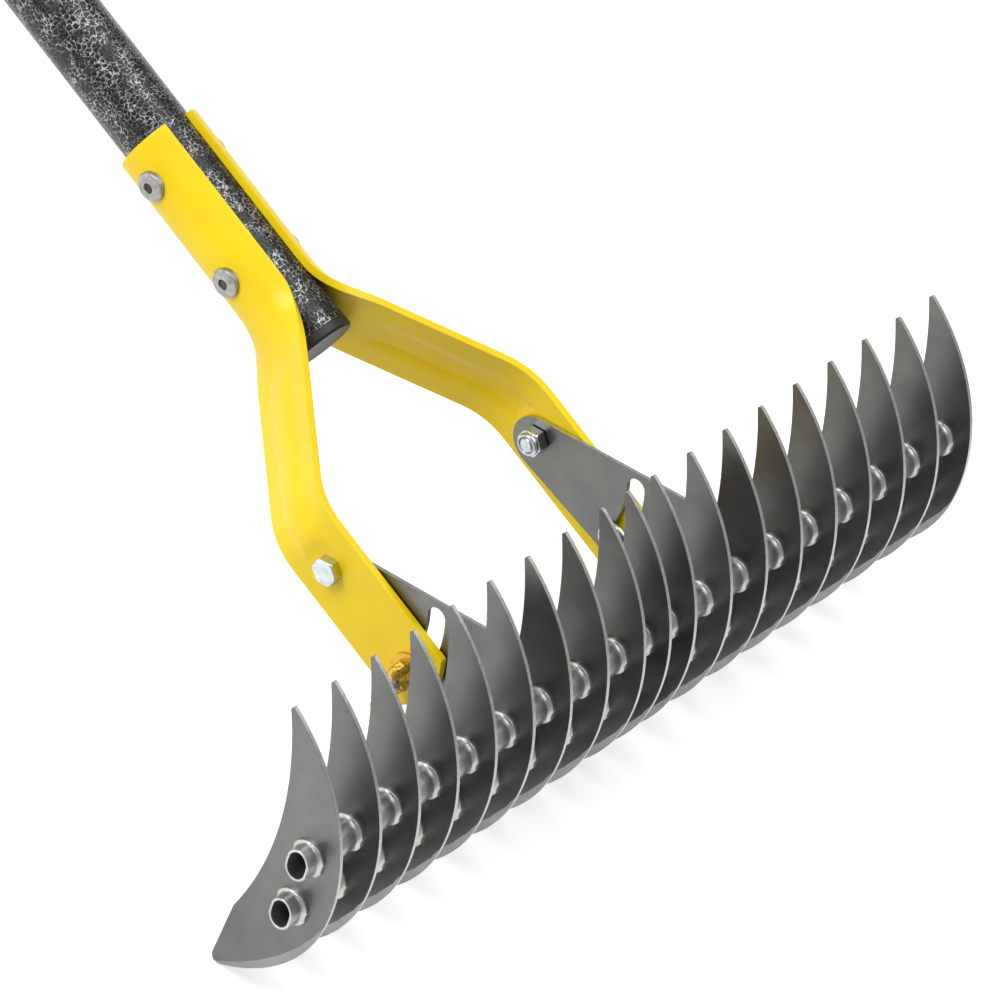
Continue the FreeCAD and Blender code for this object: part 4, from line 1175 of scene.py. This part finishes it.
def hexagon(name, height, base):
    """A hexagon with its corners cut at the top, as forging and chamfering leave it."""
    deselect()
    bpy.ops.mesh.primitive_cylinder_add(vertices=6, radius=ACROSS_FLATS / math.sqrt(3) * MM,
                                        depth=height * MM, location=(0, 0, (base + height / 2) * MM))
    piece = begin(name)
    pick("VERT", lambda vert: vert.co.z / MM > base + height / 2)
    bpy.ops.mesh.bevel(offset=0.75 * MM, affect="VERTICES")
    pick("FACE", lambda face: face.normal.z > 0.9)
    bpy.ops.mesh.inset(thickness=0.35 * MM, depth=0.25 * MM)
    return piece


def thread(low, high):
    """The outline of a threaded length, one ridge for each turn of the thread."""
    points = []
    spot = low
    while spot + PITCH <= high:
        points += [(BOLT, spot + 0.1 * PITCH), (BOLT, spot + 0.3 * PITCH), (BOLT - 0.55, spot + 0.8 * PITCH)]
        spot += PITCH
    return points + [(BOLT, high)]


def shank(name, low, high, thread_end):
    """A bolt's shank with a chamfered end and a threaded length."""
    points = [(0.0, low), (BOLT - 0.6, low), *thread(low + 0.6, thread_end), (BOLT, high), (0.0, high)]
    return turned(name, points, 32, closed=False)


# %% [markdown]
# ### Bolt and nut
# The bolt's head lies on the arm and its end just shows in the nut, which sits inside the lug with
# its collar towards the middle.

# %% Forge the bolts and nuts
bolt_head = hexagon("bolt_head", HEAD_HEIGHT - 0.25, ARM_OUTER)
soften(bolt_head, 0.15, 2, 25.0, 35.0)
bolt_shank = shank("bolt_shank", BOLT_END, ARM_OUTER, NUT_TOP)
soften(bolt_shank, 0.05, 1, 25.0, 35.0)
bolt = gather([bolt_head, bolt_shank], "bolt_pattern")

nut_hex = hexagon("nut_hex", NUT_HEX, -NUT_TOP)
soften(nut_hex, 0.15, 2, 25.0, 35.0)
collar = NUT_HEX - NUT_TOP
nut_collar = turned("nut_collar", [
    (BOLT, collar - 0.3), (4.7, collar - 0.3), (4.6, collar + 1.0), (4.2, collar + 1.7),
    (3.9, collar + 1.8), (3.5, collar + 1.8), (3.4, collar + 1.1), (BOLT, collar + 1.1)], 40)
nut_collar.data.materials.append(BOLT_ZINC)
nut_collar.data.materials.append(NYLON)
finish_faces(nut_collar, 1, lambda face: math.hypot(*middle(face).xy) < 3.55 and face.normal.z > 0.5)
soften(nut_collar, 0.12, 2, 25.0, 40.0)
nut_hex.data.materials.append(BOLT_ZINC)
nut = gather([nut_collar, nut_hex], "nut_pattern")
settle(nut, Matrix.Rotation(math.radians(HALF_TURN), 4, "X"))

dress(on_both_sides(bolt, "hexagon_pivot_bolts"), BOLT_ZINC, "handle", "bolt_zinc", "pivot_bolts")
dress(on_both_sides(nut, "nylon_locking_nuts"), BOLT_ZINC, "handle", "bolt_zinc", "pivot_nuts")
print("pivot bolts and nuts at", ARM_OUTER, "and", NUT_TOP)

# %% [markdown]
# ### Clamp bolts, washers and wing nuts
# A round-headed bolt slides in each lug's slot, and a wing nut draws it tight against the arm,
# with a flat washer between them.

# %% Turn the clamp bolts and washers
CLAMP_REACH = 46.7
CLAMP_HEAD = 3.2
WASHER = 1.6
CLAMP_RISE = 11.5
WASHER_RADIUS = 8.0
WASHER_BORE = 3.2

clamp_top = ARM_OUTER + WASHER + CLAMP_RISE
clamp_head = turned("clamp_head", [(0.0, NUT_TOP - CLAMP_HEAD), (2.5, NUT_TOP - CLAMP_HEAD + 0.15),
                                   (5.0, NUT_TOP - CLAMP_HEAD + 1.0), (6.6, NUT_TOP - 1.3), (7.0, NUT_TOP - 0.5),
                                   (7.0, NUT_TOP), (0.0, NUT_TOP)], 48, closed=False)
soften(clamp_head, 0.15, 2, 25.0, 40.0)
clamp_shank = turned("clamp_shank", [(0.0, -clamp_top), (BOLT - 0.6, -clamp_top),
                                     *thread(0.6 - clamp_top, -ARM_OUTER), (BOLT, -NUT_TOP), (0.0, -NUT_TOP)],
                     32, closed=False)
soften(clamp_shank, 0.05, 1, 25.0, 35.0)
settle(clamp_shank, Matrix.Rotation(math.radians(HALF_TURN), 4, "X"))
clamp = gather([clamp_head, clamp_shank], "clamp_pattern")

washer = turned("washer_pattern", [
    (WASHER_BORE, ARM_OUTER), (WASHER_RADIUS, ARM_OUTER), (WASHER_RADIUS, ARM_OUTER + WASHER),
    (WASHER_BORE, ARM_OUTER + WASHER)], 48)
soften(washer, 0.2, 2)

slide = Matrix.Translation((-CLAMP_REACH * MM, 0, 0))
dress(on_both_sides(clamp, "clamp_bolts_threaded", slide), BOLT_ZINC, "handle", "bolt_zinc", "clamp_bolts")
dress(on_both_sides(washer, "flat_washers", slide), WASHER_ZINC, "handle", "bolt_zinc", "clamp_washers")
print("clamp bolts reach", clamp_top)

# %% [markdown]
# ### Wing nuts
# The wing nut is cast: its hub and wings flow into each other, so its three shapes are joined,
# melted into one skin with a fine remesh and smoothed.

# %% Cast the wing nuts
WING_BASE = 63.0
WING_TURN = 10.0
WING = 2.6
MELT = 0.28


def wing(name):
    """One wing, drawn flat: a broad foot in the hub and a round top."""
    piece = begin_dot(name, 3.2, 1.6)
    push(5.0, 0.2)
    push(4.0, 4.2)
    push(1.1, 3.6)
    sweep((9.1, 9.6, 0), 172.0, 14)
    push(-0.5, -2.6)
    take_all()
    bpy.ops.mesh.edge_face_add()
    thicken(WING)
    settle(piece, Matrix.Rotation(math.radians(QUARTER_TURN), 4, "X"))
    return piece


hub = turned("hub", [(BOLT, 0.0), (5.6, 0.0), (5.4, 3.0), (4.5, 7.6), (4.1, 8.0), (BOLT, 8.0)], 40)
right_wing = wing("wing_a")
left_wing = twin(right_wing, "wing_b")
settle(left_wing, Matrix.Rotation(math.radians(HALF_TURN), 4, "Z"))
casting = gather([hub, right_wing, left_wing], "wing_nut_pattern")
apply_modifier(casting, "melt", "REMESH", mode="VOXEL", voxel_size=MELT * MM, use_smooth_shade=True)
apply_modifier(casting, "flow", "SMOOTH", factor=0.5, iterations=5)
turn = Matrix.Rotation(math.radians(QUARTER_TURN + WING_TURN), 4, "Z")
for name, side in SIDES:
    piece = twin(casting, "cast_%s_wing_nut" % name)
    settle(piece, HANDLE @ side @ slide @ Matrix.Translation((0, 0, WING_BASE * MM)) @ turn)
    dress(piece, WING_ZINC, name + "_wing_nut", "wing_casting", name + "_wing_nut")
    print(piece.name, "faces", len(piece.data.polygons))
bpy.data.objects.remove(casting)

# %% [markdown]
# ## Ground, light and camera
# The rake is shown as in a catalogue: on white, under one wide soft box overhead and a second one
# behind its left shoulder. A bright white dome would light every side alike and drown the bends,
# so the studio's walls are kept at a plain grey and the boxes do the rest. The floor is pale and
# keeps the rake's soft shadow.

# %% Walls and floor
WALL_LIGHT = 0.42
FLOOR_LIFT = 0.4


def set_world():
    world = bpy.data.worlds.new("studio_walls")
    bpy.context.scene.world = world
    world.use_nodes = True
    tree = world.node_tree
    tree.nodes.clear()
    shine = add(tree, "ShaderNodeBackground", {"Color": (1, 1, 1, 1), "Strength": WALL_LIGHT})
    add(tree, "ShaderNodeOutputWorld", {"Surface": shine.outputs[0]})


def set_floor():
    deselect()
    bpy.ops.mesh.primitive_plane_add(size=12, location=(0, 0, -0.0002))
    floor = bpy.context.object
    floor.name = "studio_floor"
    bpy.ops.object.transform_apply()
    material, tree, shader, _, place = new_finish("white_floor", Roughness=0.9)
    shader.inputs["Base Color"].default_value = colour("f4f4f4")
    shader.inputs["Emission Color"].default_value = (1, 1, 1, 1)
    path = add(tree, "ShaderNodeLightPath").outputs
    seen = add(tree, "ShaderNodeMath", {0: path["Is Camera Ray"], 1: path["Is Glossy Ray"]},
               operation="MAXIMUM")
    seen = add(tree, "ShaderNodeMath", {0: seen.outputs[0], 1: path["Is Transmission Ray"]}, operation="MAXIMUM")
    lift = add(tree, "ShaderNodeMath", {0: seen.outputs[0], 1: FLOOR_LIFT}, operation="MULTIPLY")
    tree.links.new(lift.outputs[0], shader.inputs["Emission Strength"])
    floor.data.materials.append(material)


set_world()
set_floor()
print("walls at", WALL_LIGHT)

# %% [markdown]
# ### Lamps
# Each soft box is a square area lamp: a name, its place, the point that it faces, its width and
# its watts.

# %% Hang the lamps
LAMPS = (("overhead_box", (0.45, -0.35, 2.3), (0.45, -0.35, 0.0), 2.0, 32.0),
         ("shoulder_box", (-1.7, 1.3, 1.5), (0.0, -0.5, 0.05), 1.5, 52.0))


def add_lamp(name, spot, aim, size, watts):
    lamp = bpy.data.lights.new(name, "AREA")
    lamp.shape = "SQUARE"
    lamp.size = size
    lamp.energy = watts
    lamp_object = bpy.data.objects.new(name, lamp)
    bpy.context.scene.collection.objects.link(lamp_object)
    lamp_object.location = spot
    lamp_object.rotation_euler = (Vector(aim) - Vector(spot)).to_track_quat("-Z", "Y").to_euler()


for lamp in LAMPS:
    add_lamp(*lamp)
print("lamps", len(LAMPS))

# %% [markdown]
# ### Camera
# The camera stands high and to the left with a long lens, so the blades hardly shrink with
# distance. Its turn is kept as the three directions of the picture: to its right, down it, and
# into it.

# %% Set the camera
CAMERA_PLACE = (-1.764453, -0.922909, 2.053238)
CAMERA_LENS = 264.255
SENSOR = 36.0


def set_camera():
    right = Vector((0.633896, -0.596161, 0.492715))
    down = Vector((-0.402273, -0.798248, -0.448304))
    ahead = Vector((0.66057, 0.085972, -0.745826))
    camera = bpy.data.objects.new("camera", bpy.data.cameras.new("camera"))
    bpy.context.scene.collection.objects.link(camera)
    turn = Matrix((right, -down, -ahead)).transposed()
    camera.rotation_euler = turn.to_euler()
    camera.location = CAMERA_PLACE
    camera.data.lens = CAMERA_LENS
    camera.data.sensor_width = SENSOR
    bpy.context.scene.camera = camera
    print("camera turned", [round(math.degrees(angle), 3) for angle in camera.rotation_euler])


set_camera()
scene = bpy.context.scene
scene.view_settings.view_transform = "Standard"
